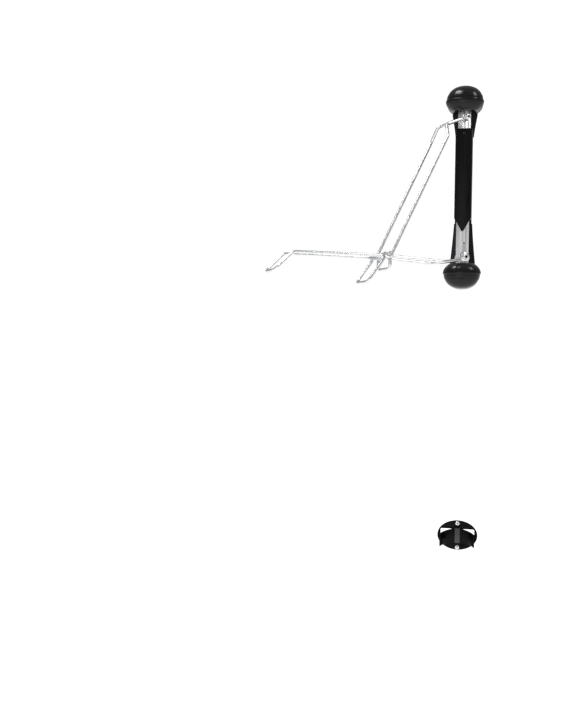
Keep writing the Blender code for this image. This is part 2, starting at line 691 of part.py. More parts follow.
def mirrored_path(half):
    """Path of one side followed by the same points on the other side."""
    return list(half) + [(x, -y, z) for x, y, z in reversed(half)]


def add_lower_arm(hinge, chrome, steel):
    """Inner loop with its hinge eyes, cradle loop, and the plates and hook pins that join them."""
    x, z = DOGLEG
    half = [(0.0, EYE_SIDE, -0.008), (x, ARM_SIDE, z), (INNER_HOOP_X, ARM_SIDE, RAIL_Z),
            (INNER_HOOP_X, ARM_SIDE, INNER_HOOP_DROP)]
    bends = [0.030, 0.012, 0.014]
    bm = bmesh.new()
    sweep_rod(bm, smooth_path(mirrored_path(half), bends + bends[::-1]))
    inner_loop = add_part("inner_loop", bm, chrome, hinge)
    for side, word in ((1, "near"), (-1, "far")):
        eye = bmesh.new()
        turned(eye, ((-EYE_HALF, LOWER_EYE), (EYE_HALF, LOWER_EYE)), (0, side * EYE_SIDE, 0), (0, 1, 0), 28)
        combine(inner_loop, add_cutter("inner_loop_eye_" + word, eye, hinge), "UNION")
        flatten_eye(inner_loop, word, side, LOWER_EYE, hinge)
    holes = bmesh.new()
    for side in (1, -1):
        turned(holes, ((-0.012, 0.0054), (0.012, 0.0054)), (0, side * EYE_SIDE, 0), (0, 1, 0), 20)
    combine(inner_loop, add_cutter("inner_loop_holes", holes, hinge), "DIFFERENCE")

    mid_x, mid_z = MID_HOOP
    end_x, end_z = END_HOOP
    corners = [(MID_HOOP_ROOT_X, ARM_SIDE, RAIL_Z), (END_BEND_X, ARM_SIDE, RAIL_Z),
               (end_x, ARM_SIDE, end_z), (end_x, -ARM_SIDE, end_z), (END_BEND_X, -ARM_SIDE, RAIL_Z),
               (MID_HOOP_ROOT_X, -ARM_SIDE, RAIL_Z), (mid_x, -ARM_SIDE, mid_z)]
    start = [(mid_x, 0.0, mid_z), (mid_x, ARM_SIDE, mid_z)]
    finish = [(mid_x, 0.0005, mid_z)]
    radii = [0.014, 0.010, 0.020, 0.018, 0.018, 0.020, 0.010, 0.014]
    bm = bmesh.new()
    path = smooth_path(start + corners[:-1] + [corners[-1]] + finish, radii)
    sweep_loop(bm, path[:-1])
    add_part("cradle_loop", bm, chrome, hinge)

    pin_x, pin_z = PIN
    for word, side in (("near", 1), ("far", -1)):
        outline = plate_outline((PLATE_INNER, PIN, PLATE_OUTER), PLATE_RADIUS)
        plate = bmesh.new()
        faces = (side * PLATE_INSIDE, side * (ARM_SIDE - ROD - GAP))
        skin_rings(plate, [[(px, y, pz) for px, pz in outline] for y in faces])
        add_part("junction_plate_" + word, plate, chrome, hinge)
        pin = bmesh.new()
        profile = ((ARM_SIDE - ROD, PIN_RADIUS), (0.0616, PIN_RADIUS), (0.0616, 0.0065), (0.0634, 0.0065))
        turned(pin, profile, (pin_x, 0, pin_z), (0, side, 0), 18)
        add_part("hook_pin_" + word, pin, steel, hinge)


def plate_outline(centres, radius, steps=6):
    """Outline of a plate that wraps discs of one radius set on a triangle, pointing up."""
    (x0, z0), (x1, z1), (x2, z2) = centres
    rise = math.atan2(z1 - z0, x1 - x0)
    fall = math.atan2(z2 - z1, x2 - x1)
    arcs = ((x0, z0, 1.5 * math.pi, math.pi / 2 + rise), (x1, z1, math.pi / 2 + rise, math.pi / 2 + fall),
            (x2, z2, math.pi / 2 + fall, -math.pi / 2))
    points = []
    for x, z, start, end in arcs:
        for step in range(steps + 1):
            turn = start + (end - start) * step / steps
            points.append((x + radius * math.cos(turn), z + radius * math.sin(turn)))
    return points


def sweep_loop(bm, path, radius=ROD, sides=12):
    """Closed round rod: the frame's sideways vector is rebuilt from the loop's own outline."""
    rings = []
    count = len(path)
    side = None
    frames = []
    for k, point in enumerate(path):
        behind = (point - path[k - 1]).normalized()
        ahead = (path[(k + 1) % count] - point).normalized()
        tangent = (behind + ahead).normalized()
        if side is None:
            side = Vector((0.2, 0, 1))
        side = (side - tangent * side.dot(tangent)).normalized()
        frames.append((point, tangent, side, behind, ahead))
    last_side = frames[-1][2]
    first_tangent, first_side = frames[0][1:3]
    carried = (last_side - first_tangent * last_side.dot(first_tangent)).normalized()
    twist = carried.angle(first_side)
    if carried.cross(first_side).dot(first_tangent) < 0:
        twist = -twist
    for k, (point, tangent, side, behind, ahead) in enumerate(frames):
        share = twist * k / count
        turned_side = Matrix.Rotation(share, 3, tangent) @ side
        across = tangent.cross(turned_side)
        stretch = 1 / max(0.5, tangent.dot(ahead))
        bend = ahead - behind
        ring = []
        for j in range(sides):
            turn = 2 * math.pi * j / sides
            offset = radius * (turned_side * math.cos(turn) + across * math.sin(turn))
            if bend.length > 0.001:
                direction = bend.normalized()
                offset += direction * offset.dot(direction) * (stretch - 1)
            ring.append(point + offset)
        rings.append(ring)
    skin_rings(bm, rings, closed=True)


# ---------------------------------------------------------------- brace
def add_brace(hinge, chrome):
    """Two rods with an eye at the top and an open hook at the lower end, and their tie."""
    pin_x, pin_z = PIN
    drop = LOWER_HINGE_Z - UPPER_HINGE_Z
    hook = Vector((pin_x, 0, pin_z + drop))
    knee_x, knee_y, knee_z = BRACE_KNEE
    shoulder_x, shoulder_z = BRACE_SHOULDER
    for side, word in ((1, "near"), (-1, "far")):
        touch = hook + HOOK_RADIUS * Vector((math.cos(HOOK_FROM), 0, math.sin(HOOK_FROM)))
        points = [(0.002, EYE_SIDE, 0.0), (knee_x, knee_y, knee_z), (shoulder_x, BRACE_SIDE, shoulder_z),
                  (touch.x, BRACE_SIDE, touch.z)]
        path = smooth_path(points, [0.016, 0.022])
        for step in range(1, 9):
            turn = HOOK_FROM + (HOOK_TO - HOOK_FROM) * step / 8
            path.append(Vector((hook.x + HOOK_RADIUS * math.cos(turn), BRACE_SIDE,
                                hook.z + HOOK_RADIUS * math.sin(turn))))
        path = [Vector((p.x, p.y * side, p.z)) for p in path]
        bm = bmesh.new()
        sweep_rod(bm, path)
        rod = add_part("brace_rod_" + word, bm, chrome, hinge)
        eye = bmesh.new()
        turned(eye, ((-EYE_HALF, UPPER_EYE), (EYE_HALF, UPPER_EYE)), (0, side * EYE_SIDE, 0), (0, 1, 0), 24)
        combine(rod, add_cutter(rod.name + "_eye", eye, hinge), "UNION")
        flatten_eye(rod, word, side, UPPER_EYE, hinge)
        hole = bmesh.new()
        turned(hole, ((-0.012, 0.0044), (0.012, 0.0044)), (0, side * EYE_SIDE, 0), (0, 1, 0), 16)
        combine(rod, add_cutter(rod.name + "_hole", hole, hinge), "DIFFERENCE")
    tie = bmesh.new()
    turned(tie, ((-TIE_REACH, 0.0035), (TIE_REACH, 0.0035)), TIE_MIDDLE, (0, 1, 0), 14)
    add_part("brace_tie", tie, chrome, hinge)


# ---------------------------------------------------------------- the rack
def build():
    clear_scene()
    gloss_black = make_material("gloss_black_plastic", (0.012, 0.012, 0.013), 0.12, 0.0)
    cover_black = make_material("satin_black_plastic", (0.014, 0.014, 0.015), 0.35, 0.0)
    rail_black = make_material("black_anodised", (0.02, 0.02, 0.022), 0.4, 0.6)
    aluminium = make_material("extruded_aluminium", (0.78, 0.79, 0.80), 0.32, 1.0)
    chrome = make_material("bright_rod", (0.86, 0.87, 0.88), 0.16, 1.0)
    steel = make_material("screw_steel", (0.72, 0.73, 0.74), 0.25, 1.0)
    bush_plastic = make_material("bush_plastic", (0.80, 0.79, 0.75), 0.45, 0.0)
    dark_plastic = make_material("dark_plastic", (0.02, 0.02, 0.02), 0.5, 0.0)

    swivel = make_empty("swivel_axis", (0, AXIS_Y, 0), ARM_HEADING)
    lower_hinge = make_empty("lower_hinge", (0, 0, LOWER_HINGE_Z), 0, swivel)
    upper_hinge = make_empty("upper_hinge", (0, 0, UPPER_HINGE_Z), 0, swivel)

    add_back_rail(rail_black)
    top = add_bracket("top_bracket", 1, TOP_NECK_END, NECK_WAIST, gloss_black)
    cut_bracket(top, 1, TOP_NECK_END, TONGUE_TOP)
    bottom = add_bracket("bottom_bracket", -1, BOTTOM_NECK_END, NECK_WAIST, gloss_black)
    cut_bracket(bottom, -1, BOTTOM_NECK_END, TONGUE_FOOT)
    add_cap("top_cap", 1, gloss_black)
    add_cap("bottom_cap", -1, gloss_black)
    add_guide_collar(dark_plastic)
    add_cover(cover_black)
    add_wall_hardware(bush_plastic, steel, rail_black)
    add_tyre_rest(gloss_black, steel)
    add_column(swivel, aluminium, bush_plastic, steel, dark_plastic)
    add_lower_arm(lower_hinge, chrome, steel)
    add_brace(upper_hinge, chrome)


build()
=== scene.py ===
"""Looks of a swivelling bicycle wall rack and of its separate tyre rest.

The wall is the plane Y = 0 with the room on its -Y side, +Z is up. The arms are drawn in a frame
of their own, x outward along them, y sideways and z up, and are then turned about the column.
"""

import math

import bmesh
import bpy
from mathutils import Matrix, Vector


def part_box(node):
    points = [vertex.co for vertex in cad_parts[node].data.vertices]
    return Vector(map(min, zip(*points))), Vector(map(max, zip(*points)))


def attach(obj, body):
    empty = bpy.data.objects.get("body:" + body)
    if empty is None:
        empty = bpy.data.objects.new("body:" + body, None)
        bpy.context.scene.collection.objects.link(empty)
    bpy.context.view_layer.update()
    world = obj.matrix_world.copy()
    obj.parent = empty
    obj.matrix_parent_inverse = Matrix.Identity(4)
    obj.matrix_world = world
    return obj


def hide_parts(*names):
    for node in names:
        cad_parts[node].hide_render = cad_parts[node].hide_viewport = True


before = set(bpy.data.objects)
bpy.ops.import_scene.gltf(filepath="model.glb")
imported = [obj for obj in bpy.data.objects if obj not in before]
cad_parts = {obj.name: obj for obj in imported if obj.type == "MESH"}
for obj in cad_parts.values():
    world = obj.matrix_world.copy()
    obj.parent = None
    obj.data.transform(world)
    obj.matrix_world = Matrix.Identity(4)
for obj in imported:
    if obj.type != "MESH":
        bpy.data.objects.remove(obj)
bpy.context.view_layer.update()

# ---------------------------------------------------------------- sizes (metres), outer ones from the frame
GAP = 0.0003                      # left between parts that meet
PAST = 0.02                       # how far the cover's cutters run past its ends
TAU = 2 * math.pi

tube_low, tube_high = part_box("column_tube")
cover_low, cover_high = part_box("front_cover")
rest_low, rest_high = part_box("tyre_rest")

AXIS_Y = (tube_low.y + tube_high.y) / 2
ARM_HEADING = math.radians(210)
ARMS = Matrix.Translation((0, AXIS_Y, 0)) @ Matrix.Rotation(ARM_HEADING, 4, "Z")
LOWER_HINGE_Z = -0.220
UPPER_HINGE_Z = 0.219
COLUMN_END = tube_high.z

DOME_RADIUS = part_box("top_bracket")[1].x
DOME_EQUATOR = 0.271
DOME_DEPTH_RATIO = 0.78
DOME_INNER_HALF = 0.0405
DOME_MOUTH = 0.240
LIP_START = DOME_EQUATOR + 0.0006
CAP_SEAM = 0.289
CAP_RADIUS = 0.057
CAP_HALF = 0.0485
CAP_FULLNESS = 2.25
CAP_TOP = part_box("top_cap")[1].z
CAP_WALL = 0.003
CAP_STEP = 0.0008
WELL_RADIUS = 0.0235
WELL_FLOOR = 0.256
BORE_RADIUS = 0.0093
WEB_END = 0.271
POCKET_RADIUS = 0.036

NECK_DEPTH = 0.009
TOP_NECK_END = 0.166
BOTTOM_NECK_END = 0.110
NECK_TOP = 0.250
NECK_FLARE_END = 0.235
NECK_WAIST = 0.029
NECK_FOOT = 0.0395
NECK_CORNER = 0.003
TAB_HALF = 0.022
TAB_DEPTH = 0.006
TAB_RANGE = (0.280, 0.3110)
WALL_SCREW_X = 0.013
WALL_SCREW_Z = 0.303
WALL_SCREW_HEAD = (0.0062, 0.0040)
RAIL_SCREWS = (0.180, 0.200, -0.122, -0.142)
RAIL_SCREW_HOLE = 0.0022
TONGUE_HALF = 0.020
TONGUE_DEPTH = 0.004
TONGUE_TOP = 0.208
TONGUE_FOOT = 0.150

RAIL_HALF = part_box("back_rail")[1].x
RAIL_STEP = 0.0024
RAIL_STEP_Y = -0.0057

COVER_HALF = cover_high.x
COVER_FRONT = cover_low.y
COVER_WALL = 0.0022
COVER_CORNER = 0.008
COVER_TOP = cover_high.z
COVER_TIP = cover_low.z
COVER_SHOULDER = -0.097
COVER_SCREW_Z = 0.165

COLUMN_U = 0.0165
COLUMN_V = 0.0140
COLUMN_WALL = 0.0025
COLUMN_CORNER = 0.0035
GROOVE_X = 0.0065
GROOVE_HALF = 0.0009
GROOVE_DEPTH = 0.0009

ROD = 0.005
EYE_SIDE = 0.0196
EYE_HALF = 0.003
ARM_SIDE = 0.044
BRACE_SIDE = 0.056
LOWER_EYE = 0.015
UPPER_EYE = 0.009
UPPER_BOLT = 0.0041
LOWER_BOLT = 0.0051
UPPER_HOLE = 0.0044
LOWER_HOLE = 0.0054
UPPER_HEAD = 0.0072
LOWER_HEAD = 0.0088
SPACER_END = 0.0163
COLLAR_WAY = 0.0213
DOGLEG = (0.088, -0.020)
RAIL_Z = -0.009
INNER_HOOP = (0.268, -0.048)
MID_HOOP = (0.340, -0.090)
MID_HOOP_ROOT_X = 0.281
END_BEND_X = 0.578
END_HOOP = (0.6358, -0.065)
PIN = (0.278, -0.002)
PIN_RADIUS = 0.0045
PIN_HEAD = 0.0065
PIN_NECK = 0.0616
PIN_END = 0.0634
PLATE_INNER = (0.2625, -0.0115)
PLATE_OUTER = (0.2985, -0.0115)
PLATE_RADIUS = 0.0065
PLATE_INSIDE = 0.0335
HOOK_RADIUS = 0.0105
HOOK_FROM = math.radians(207.5)
HOOK_TO = math.radians(330)
BRACE_KNEE = (0.078, 0.029, -0.030)
BRACE_SHOULDER = (0.086, -0.072)
TIE_PLACE = (0.066, -0.0255)
TIE_RADIUS = 0.0035

REST_Z = (rest_low.z + rest_high.z) / 2
REST_HALF_WIDTH = rest_high.x
REST_HALF_HEIGHT = (rest_high.z - rest_low.z) / 2
REST_SCREW_OFFSET = 0.038
REST_SCREW_HEAD = (0.0065, 0.0042)
REST_PLATE = 0.006


# ---------------------------------------------------------------- materials
def grain(tree, scale, stretch, detail):
    """Noise on Object coordinates, which stretch scales along each axis."""
    place = tree.nodes.new("ShaderNodeTexCoord")
    mapping = tree.nodes.new("ShaderNodeMapping")
    mapping.inputs["Scale"].default_value = stretch
    noise = tree.nodes.new("ShaderNodeTexNoise")
    noise.inputs["Scale"].default_value = scale
    noise.inputs["Detail"].default_value = detail
    tree.links.new(place.outputs["Object"], mapping.inputs["Vector"])
    tree.links.new(mapping.outputs["Vector"], noise.inputs["Vector"])
    return noise.outputs["Fac"]


def spread(tree, source, low, high, start=0.35, end=0.65):
    remap = tree.nodes.new("ShaderNodeMapRange")
    remap.inputs["From Min"].default_value = start
    remap.inputs["From Max"].default_value = end
    remap.inputs["To Min"].default_value = low
    remap.inputs["To Max"].default_value = high
    tree.links.new(source, remap.inputs["Value"])
    return remap.outputs["Result"]


def surface(name, colours, metallic, roughness, mottle, texture, shine=0.5):
    """Finish with a mottled colour and roughness and a fine relief. shine is its mirror strength.

    mottle and texture are (scale, stretch, detail); texture has its height in metres as well.
    """
    material = bpy.data.materials.new(name)
    material.use_nodes = True
    tree = material.node_tree
    shader = tree.nodes["Principled BSDF"]
    shader.inputs["Metallic"].default_value = metallic
    shader.inputs["Specular IOR Level"].default_value = shine

    field = grain(tree, *mottle)
    ramp = tree.nodes.new("ShaderNodeValToRGB")
    ramp.color_ramp.elements[0].position = 0.32
    ramp.color_ramp.elements[1].position = 0.68
    ramp.color_ramp.elements[0].color = (*colours[0], 1)
    ramp.color_ramp.elements[1].color = (*colours[1], 1)
    tree.links.new(field, ramp.inputs["Fac"])
    tree.links.new(ramp.outputs["Color"], shader.inputs["Base Color"])
    tree.links.new(spread(tree, field, *roughness), shader.inputs["Roughness"])

    scale, stretch, detail, height = texture
    bump = tree.nodes.new("ShaderNodeBump")
    bump.inputs["Distance"].default_value = height
    bump.inputs["Strength"].default_value = 1.0
    tree.links.new(grain(tree, scale, stretch, detail), bump.inputs["Height"])
    tree.links.new(bump.outputs["Normal"], shader.inputs["Normal"])
    return material


EVEN = (1, 1, 1)
UPRIGHT = (1, 1, 0.012)

gloss_black = surface("gloss_black_moulding", ((0.0012, 0.0012, 0.0014), (0.0026, 0.0026, 0.0029)), 0.0,
                      (0.20, 0.24), (34, EVEN, 4), (160, EVEN, 2, 0.0000006), 0.24)
rest_black = surface("tyre_rest_moulding", ((0.0008, 0.0008, 0.0009), (0.0026, 0.0026, 0.0028)), 0.0,
                     (0.24, 0.34), (60, EVEN, 5), (700, EVEN, 3, 0.00001), 0.08)
# Painted light: the middle web is part of the same black moulding, and its front faces are painted a lighter
# black as if more light falls on them.
web_painted_light = surface("tyre_rest_web_face", ((0.016, 0.016, 0.017), (0.030, 0.030, 0.031)), 0.0,
                    (0.34, 0.46), (60, EVEN, 5), (700, EVEN, 3, 0.00003), 0.5)
cover_black = surface("satin_cover_skin", ((0.0012, 0.0012, 0.0014), (0.0026, 0.0026, 0.0029)), 0.0,
                      (0.26, 0.33), (28, (1, 1, 0.4), 4), (1400, EVEN, 2, 0.00001), 0.10)
rail_black = surface("black_anodised_extrusion", ((0.004, 0.004, 0.005), (0.009, 0.009, 0.010)), 0.5,
                     (0.32, 0.44), (900, UPRIGHT, 3), (1500, UPRIGHT, 2, 0.00002), 0.15)
column_metal = surface("extruded_aluminium", ((0.46, 0.465, 0.47), (0.60, 0.605, 0.61)), 0.9,
                       (0.30, 0.40), (1100, UPRIGHT, 4), (1700, UPRIGHT, 3, 0.00001))
rod_metal = surface("bright_plated_rod", ((0.58, 0.585, 0.59), (0.66, 0.662, 0.665)), 0.95,
                    (0.20, 0.26), (70, EVEN, 5), (300, EVEN, 2, 0.000001))
screw_metal = surface("screw_steel", ((0.66, 0.67, 0.68), (0.86, 0.865, 0.87)), 0.9,
                      (0.20, 0.32), (240, EVEN, 4), (600, EVEN, 2, 0.000002))
# Painted shade: near-black colour on the faces inside screw recesses and bolt sockets, standing in for the
# shade that falls there.
recess_shade_paint = surface("dark_recess", ((0.002, 0.002, 0.002), (0.006, 0.006, 0.006)), 0.0,
                       (0.6, 0.8), (240, EVEN, 4), (1600, EVEN, 2, 0.00002), 0.05)
black_screw = surface("blackened_screw_steel", ((0.006, 0.006, 0.007), (0.014, 0.014, 0.015)), 0.5,
                      (0.28, 0.42), (300, EVEN, 4), (1800, EVEN, 2, 0.00002), 0.3)
bush_white = surface("bush_acetal", ((0.70, 0.69, 0.65), (0.80, 0.79, 0.76)), 0.0,
                     (0.38, 0.5), (90, EVEN, 3), (1500, EVEN, 2, 0.00002))
dark_moulding = surface("dark_moulding", ((0.009, 0.009, 0.0095), (0.018, 0.018, 0.019)), 0.0,
                        (0.42, 0.56), (150, EVEN, 4), (2000, EVEN, 2, 0.00004))
weld_metal = surface("weld_bead", ((0.55, 0.56, 0.57), (0.82, 0.825, 0.83)), 0.8,
                     (0.25, 0.45), (500, EVEN, 5), (1200, EVEN, 3, 0.00012))


# ---------------------------------------------------------------- mesh tools
def new_object(name, mesh):
    item = bpy.data.objects.new(name, mesh)
    bpy.context.scene.collection.objects.link(item)
    return item


def drop(item):
    mesh = item.data
    bpy.data.objects.remove(item)
    bpy.data.meshes.remove(mesh)


def loft(name, rings, closed=False):
    """Closed solid through rings of points. closed joins the last ring back to the first."""
    bm = bmesh.new()
    rows = [[bm.verts.new(point) for point in ring] for ring in rings]
    count = len(rows[0])
    for row in range(len(rows) if closed else len(rows) - 1):
        low = rows[row]
        high = rows[(row + 1) % len(rows)]
        for k in range(count):
            j = (k + 1) % count
            bm.faces.new((low[k], low[j], high[j], high[k]))
    if not closed:
        bm.faces.new(list(reversed(rows[0])))
        bm.faces.new(rows[-1])
    bmesh.ops.recalc_face_normals(bm, faces=bm.faces)
    mesh = bpy.data.meshes.new(name)
    bm.to_mesh(mesh)
    bm.free()
    return new_object(name, mesh)


def turned(name, profile, origin, axis, sides=48, hollow=False):
    """Solid of revolution from (distance along the axis, radius) pairs."""
    axis = Vector(axis).normalized()
    side = axis.orthogonal().normalized()
    across = axis.cross(side)
    rings = []
    for distance, radius in profile:
        centre = Vector(origin) + axis * distance
        ring = []
        for k in range(sides):
            turn = TAU * k / sides
            ring.append(centre + radius * (side * math.cos(turn) + across * math.sin(turn)))
        rings.append(ring)
    return loft(name, rings, closed=hollow)


def block(name, low, high):
    outline = ((low[0], low[1]), (high[0], low[1]), (high[0], high[1]), (low[0], high[1]))
    return loft(name, [[(x, y, z) for x, y in outline] for z in (low[2], high[2])])


def bake(piece):
    """Turn the piece's modifiers into plain mesh."""
    bpy.context.view_layer.update()
    graph = bpy.context.evaluated_depsgraph_get()
    old = piece.data
    result = bpy.data.meshes.new_from_object(piece.evaluated_get(graph))
    piece.modifiers.clear()
    piece.data = result
    bpy.data.meshes.remove(old)


def combine(piece, tool, operation):
    modifier = piece.modifiers.new("combine", "BOOLEAN")
    modifier.operation = operation
    modifier.solver = "EXACT"
    modifier.object = tool
    bake(piece)
    drop(tool)


def join(piece, tool):
    combine(piece, tool, "UNION")


def cut(piece, tool):
    combine(piece, tool, "DIFFERENCE")


def round_edges(piece, width, angle=32, segments=3):
    modifier = piece.modifiers.new("round", "BEVEL")
    modifier.width = width
    modifier.segments = segments
    modifier.limit_method = "ANGLE"
    modifier.angle_limit = math.radians(angle)
    modifier.use_clamp_overlap = True
    modifier.miter_outer = "MITER_ARC"
    bake(piece)


def clean(piece, distance=0.000002):
    bm = bmesh.new()
    bm.from_mesh(piece.data)
    bmesh.ops.remove_doubles(bm, verts=bm.verts, dist=distance)
    bmesh.ops.dissolve_degenerate(bm, edges=bm.edges, dist=distance)
    bm.to_mesh(piece.data)
    bm.free()


def install(piece, body, material, replaced, place=None, sharp=34, shade_and_light_paint=None):
    """Give a finished piece its place, finish and body. The last argument is (test of a point, second
    material); it paints shade into recesses and light onto the web face.
    """
    marked = []
    if shade_and_light_paint is not None:
        marked = [polygon.index for polygon in piece.data.polygons if shade_and_light_paint[0](polygon.center)]
    if place is not None:
        piece.data.transform(place)
    piece.data.materials.clear()
    piece.data.materials.append(material)
    piece.data.shade_smooth()
    piece.data.set_sharp_from_angle(angle=math.radians(sharp))
    # The marked faces get the second material: painted shade or painted light.
    if marked:
        piece.data.materials.append(shade_and_light_paint[1])
        for index in marked:
            piece.data.polygons[index].material_index = 1
    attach(piece, body)
    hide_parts(*replaced)


def arc(centre, radius, start, end, steps):
    """Points (a, b) along an arc, angles in degrees."""
    points = []
    for step in range(steps + 1):
        turn = math.radians(start + (end - start) * step / steps)
        points.append((centre[0] + radius * math.cos(turn), centre[1] + radius * math.sin(turn)))
    return points


def rounded_outline(half_x, low_y, high_y, corner, steps=10):
    points = []
    for x, y, start in ((half_x - corner, high_y - corner, 0), (corner - half_x, high_y - corner, 90),
                        (corner - half_x, low_y + corner, 180), (half_x - corner, low_y + corner, 270)):
        points += arc((x, y), corner, start, start + 90, steps)
    return points


# ---------------------------------------------------------------- geometry nodes
def named_input(tree, name, kind, value=None):
    socket = tree.interface.new_socket(name, in_out="INPUT", socket_type=kind)
    if value is not None:
        socket.default_value = value


def start_tree(name):
    tree = bpy.data.node_groups.new(name, "GeometryNodeTree")
    tree.is_modifier = True
    tree.interface.new_socket("Geometry", in_out="INPUT", socket_type="NodeSocketGeometry")
    tree.interface.new_socket("Geometry", in_out="OUTPUT", socket_type="NodeSocketGeometry")
    return tree


def close_tree(tree, geometry, entry):
    """Realize the instances and set the finish, then feed the tree's output."""
    real = tree.nodes.new("GeometryNodeRealizeInstances")
    paint = tree.nodes.new("GeometryNodeSetMaterial")
    leave = tree.nodes.new("NodeGroupOutput")
    tree.links.new(geometry, real.inputs["Geometry"])
    tree.links.new(real.outputs["Geometry"], paint.inputs["Geometry"])
    tree.links.new(entry.outputs["Finish"], paint.inputs["Material"])
    tree.links.new(paint.outputs["Geometry"], leave.inputs["Geometry"])


def attribute_node(tree, name):
    node = tree.nodes.new("GeometryNodeInputNamedAttribute")
    node.data_type = "FLOAT"
    node.inputs["Name"].default_value = name
    return node.outputs["Attribute"]


def bent_rod_tree():
    """Round rod along a polyline: bends come from each point's bend_radius."""
    tree = start_tree("bent_rod")
    named_input(tree, "Rod Radius", "NodeSocketFloat", ROD)
    named_input(tree, "Sides", "NodeSocketInt", 32)
    named_input(tree, "Bend Steps", "NodeSocketInt", 14)
    named_input(tree, "Finish", "NodeSocketMaterial")
    entry = tree.nodes.new("NodeGroupInput")
    path = tree.nodes.new("GeometryNodeMeshToCurve")
    bend = tree.nodes.new("GeometryNodeFilletCurve")
    bend.mode = "POLY"
    bend.inputs["Limit Radius"].default_value = True
    width = tree.nodes.new("GeometryNodeSetCurveRadius")
    ring = tree.nodes.new("GeometryNodeCurvePrimitiveCircle")
    skin = tree.nodes.new("GeometryNodeCurveToMesh")
    skin.inputs["Fill Caps"].default_value = True
    link = tree.links.new
    link(entry.outputs["Geometry"], path.inputs["Mesh"])
    link(path.outputs["Curve"], bend.inputs["Curve"])
    link(attribute_node(tree, "bend_radius"), bend.inputs["Radius"])
    link(entry.outputs["Bend Steps"], bend.inputs["Count"])
    link(bend.outputs["Curve"], width.inputs["Curve"])
    link(attribute_node(tree, "thickness"), width.inputs["Radius"])
    link(entry.outputs["Sides"], ring.inputs["Resolution"])
    link(entry.outputs["Rod Radius"], ring.inputs["Radius"])
    link(width.outputs["Curve"], skin.inputs["Curve"])
    link(ring.outputs["Curve"], skin.inputs["Profile Curve"])
    close_tree(tree, skin.outputs["Mesh"], entry)
    return tree


def recessed_screw_tree():
    """Pan-head screws with a cross recess, one on each point, heads towards -Y."""
    tree = start_tree("recessed_screw")
    named_input(tree, "Head Radius", "NodeSocketFloat", 0.006)
    named_input(tree, "Head Height", "NodeSocketFloat", 0.004)
    named_input(tree, "Shank Radius", "NodeSocketFloat", 0.003)
    named_input(tree, "Shank Length", "NodeSocketFloat", 0.006)
    named_input(tree, "Finish", "NodeSocketMaterial")
    entry = tree.nodes.new("NodeGroupInput")
    link = tree.links.new

    def maths(operation, first, second):
        node = tree.nodes.new("ShaderNodeMath")
        node.operation = operation
        for socket, value in ((node.inputs[0], first), (node.inputs[1], second)):
            if isinstance(value, (int, float)):
                socket.default_value = value
            else:
                link(value, socket)
        return node.outputs["Value"]

    def vector(x, y, z):
        node = tree.nodes.new("ShaderNodeCombineXYZ")
        for name, value in (("X", x), ("Y", y), ("Z", z)):
            if isinstance(value, (int, float)):
                node.inputs[name].default_value = value
            else:
                link(value, node.inputs[name])
        return node.outputs["Vector"]

    def placed(mesh, offset, scale=None):
        node = tree.nodes.new("GeometryNodeTransform")
        link(mesh, node.inputs["Geometry"])
        link(offset, node.inputs["Translation"])
        if scale is not None:
            link(scale, node.inputs["Scale"])
        return node.outputs["Geometry"]

    def cylinder(radius, length, sides):
        node = tree.nodes.new("GeometryNodeMeshCylinder")
        node.inputs["Vertices"].default_value = sides
        link(radius, node.inputs["Radius"])
        link(length, node.inputs["Depth"])
        return node.outputs["Mesh"]

    def boolean(operation, meshes, base=None):
        node = tree.nodes.new("GeometryNodeMeshBoolean")
        node.operation = operation
        node.solver = "EXACT"
        if base is not None:
            link(base, node.inputs["Mesh 1"])
        for mesh in meshes:
            link(mesh, node.inputs["Mesh 2"])
        return node.outputs["Mesh"]

    head_radius = entry.outputs["Head Radius"]
    head_height = entry.outputs["Head Height"]
    shank_length = entry.outputs["Shank Length"]
    half_height = maths("MULTIPLY", head_height, 0.5)
    drum = placed(cylinder(head_radius, head_height, 48), vector(0, 0, half_height))
    ball = tree.nodes.new("GeometryNodeMeshUVSphere")
    ball.inputs["Segments"].default_value = 48
    ball.inputs["Rings"].default_value = 24
    dome_width = maths("MULTIPLY", head_radius, 1.12)
    dome = placed(ball.outputs["Mesh"], vector(0, 0, 0), vector(dome_width, dome_width, head_height))
    head = boolean("INTERSECT", (drum, dome))
    reach = maths("ADD", shank_length, half_height)
    shank_middle = maths("SUBTRACT", half_height, maths("MULTIPLY", reach, 0.5))
    shank = placed(cylinder(entry.outputs["Shank Radius"], reach, 32), vector(0, 0, shank_middle))
    screw = boolean("UNION", (head, shank))
    wings = []
    long_side = maths("MULTIPLY", head_radius, 1.05)
    short_side = maths("MULTIPLY", head_radius, 0.24)
    for sizes in ((long_side, short_side), (short_side, long_side)):
        cube = tree.nodes.new("GeometryNodeMeshCube")
        link(vector(sizes[0], sizes[1], maths("MULTIPLY", head_height, 1.3)), cube.inputs["Size"])
        wings.append(placed(cube.outputs["Mesh"], vector(0, 0, head_height)))
    screw = boolean("DIFFERENCE", wings, screw)
    copies = tree.nodes.new("GeometryNodeInstanceOnPoints")
    copies.inputs["Rotation"].default_value = (math.pi / 2, 0, 0)
    points = tree.nodes.new("GeometryNodeMeshToPoints")
    link(entry.outputs["Geometry"], points.inputs["Mesh"])
    link(points.outputs["Points"], copies.inputs["Points"])
    link(screw, copies.inputs["Instance"])
    close_tree(tree, copies.outputs["Instances"], entry)
    return tree


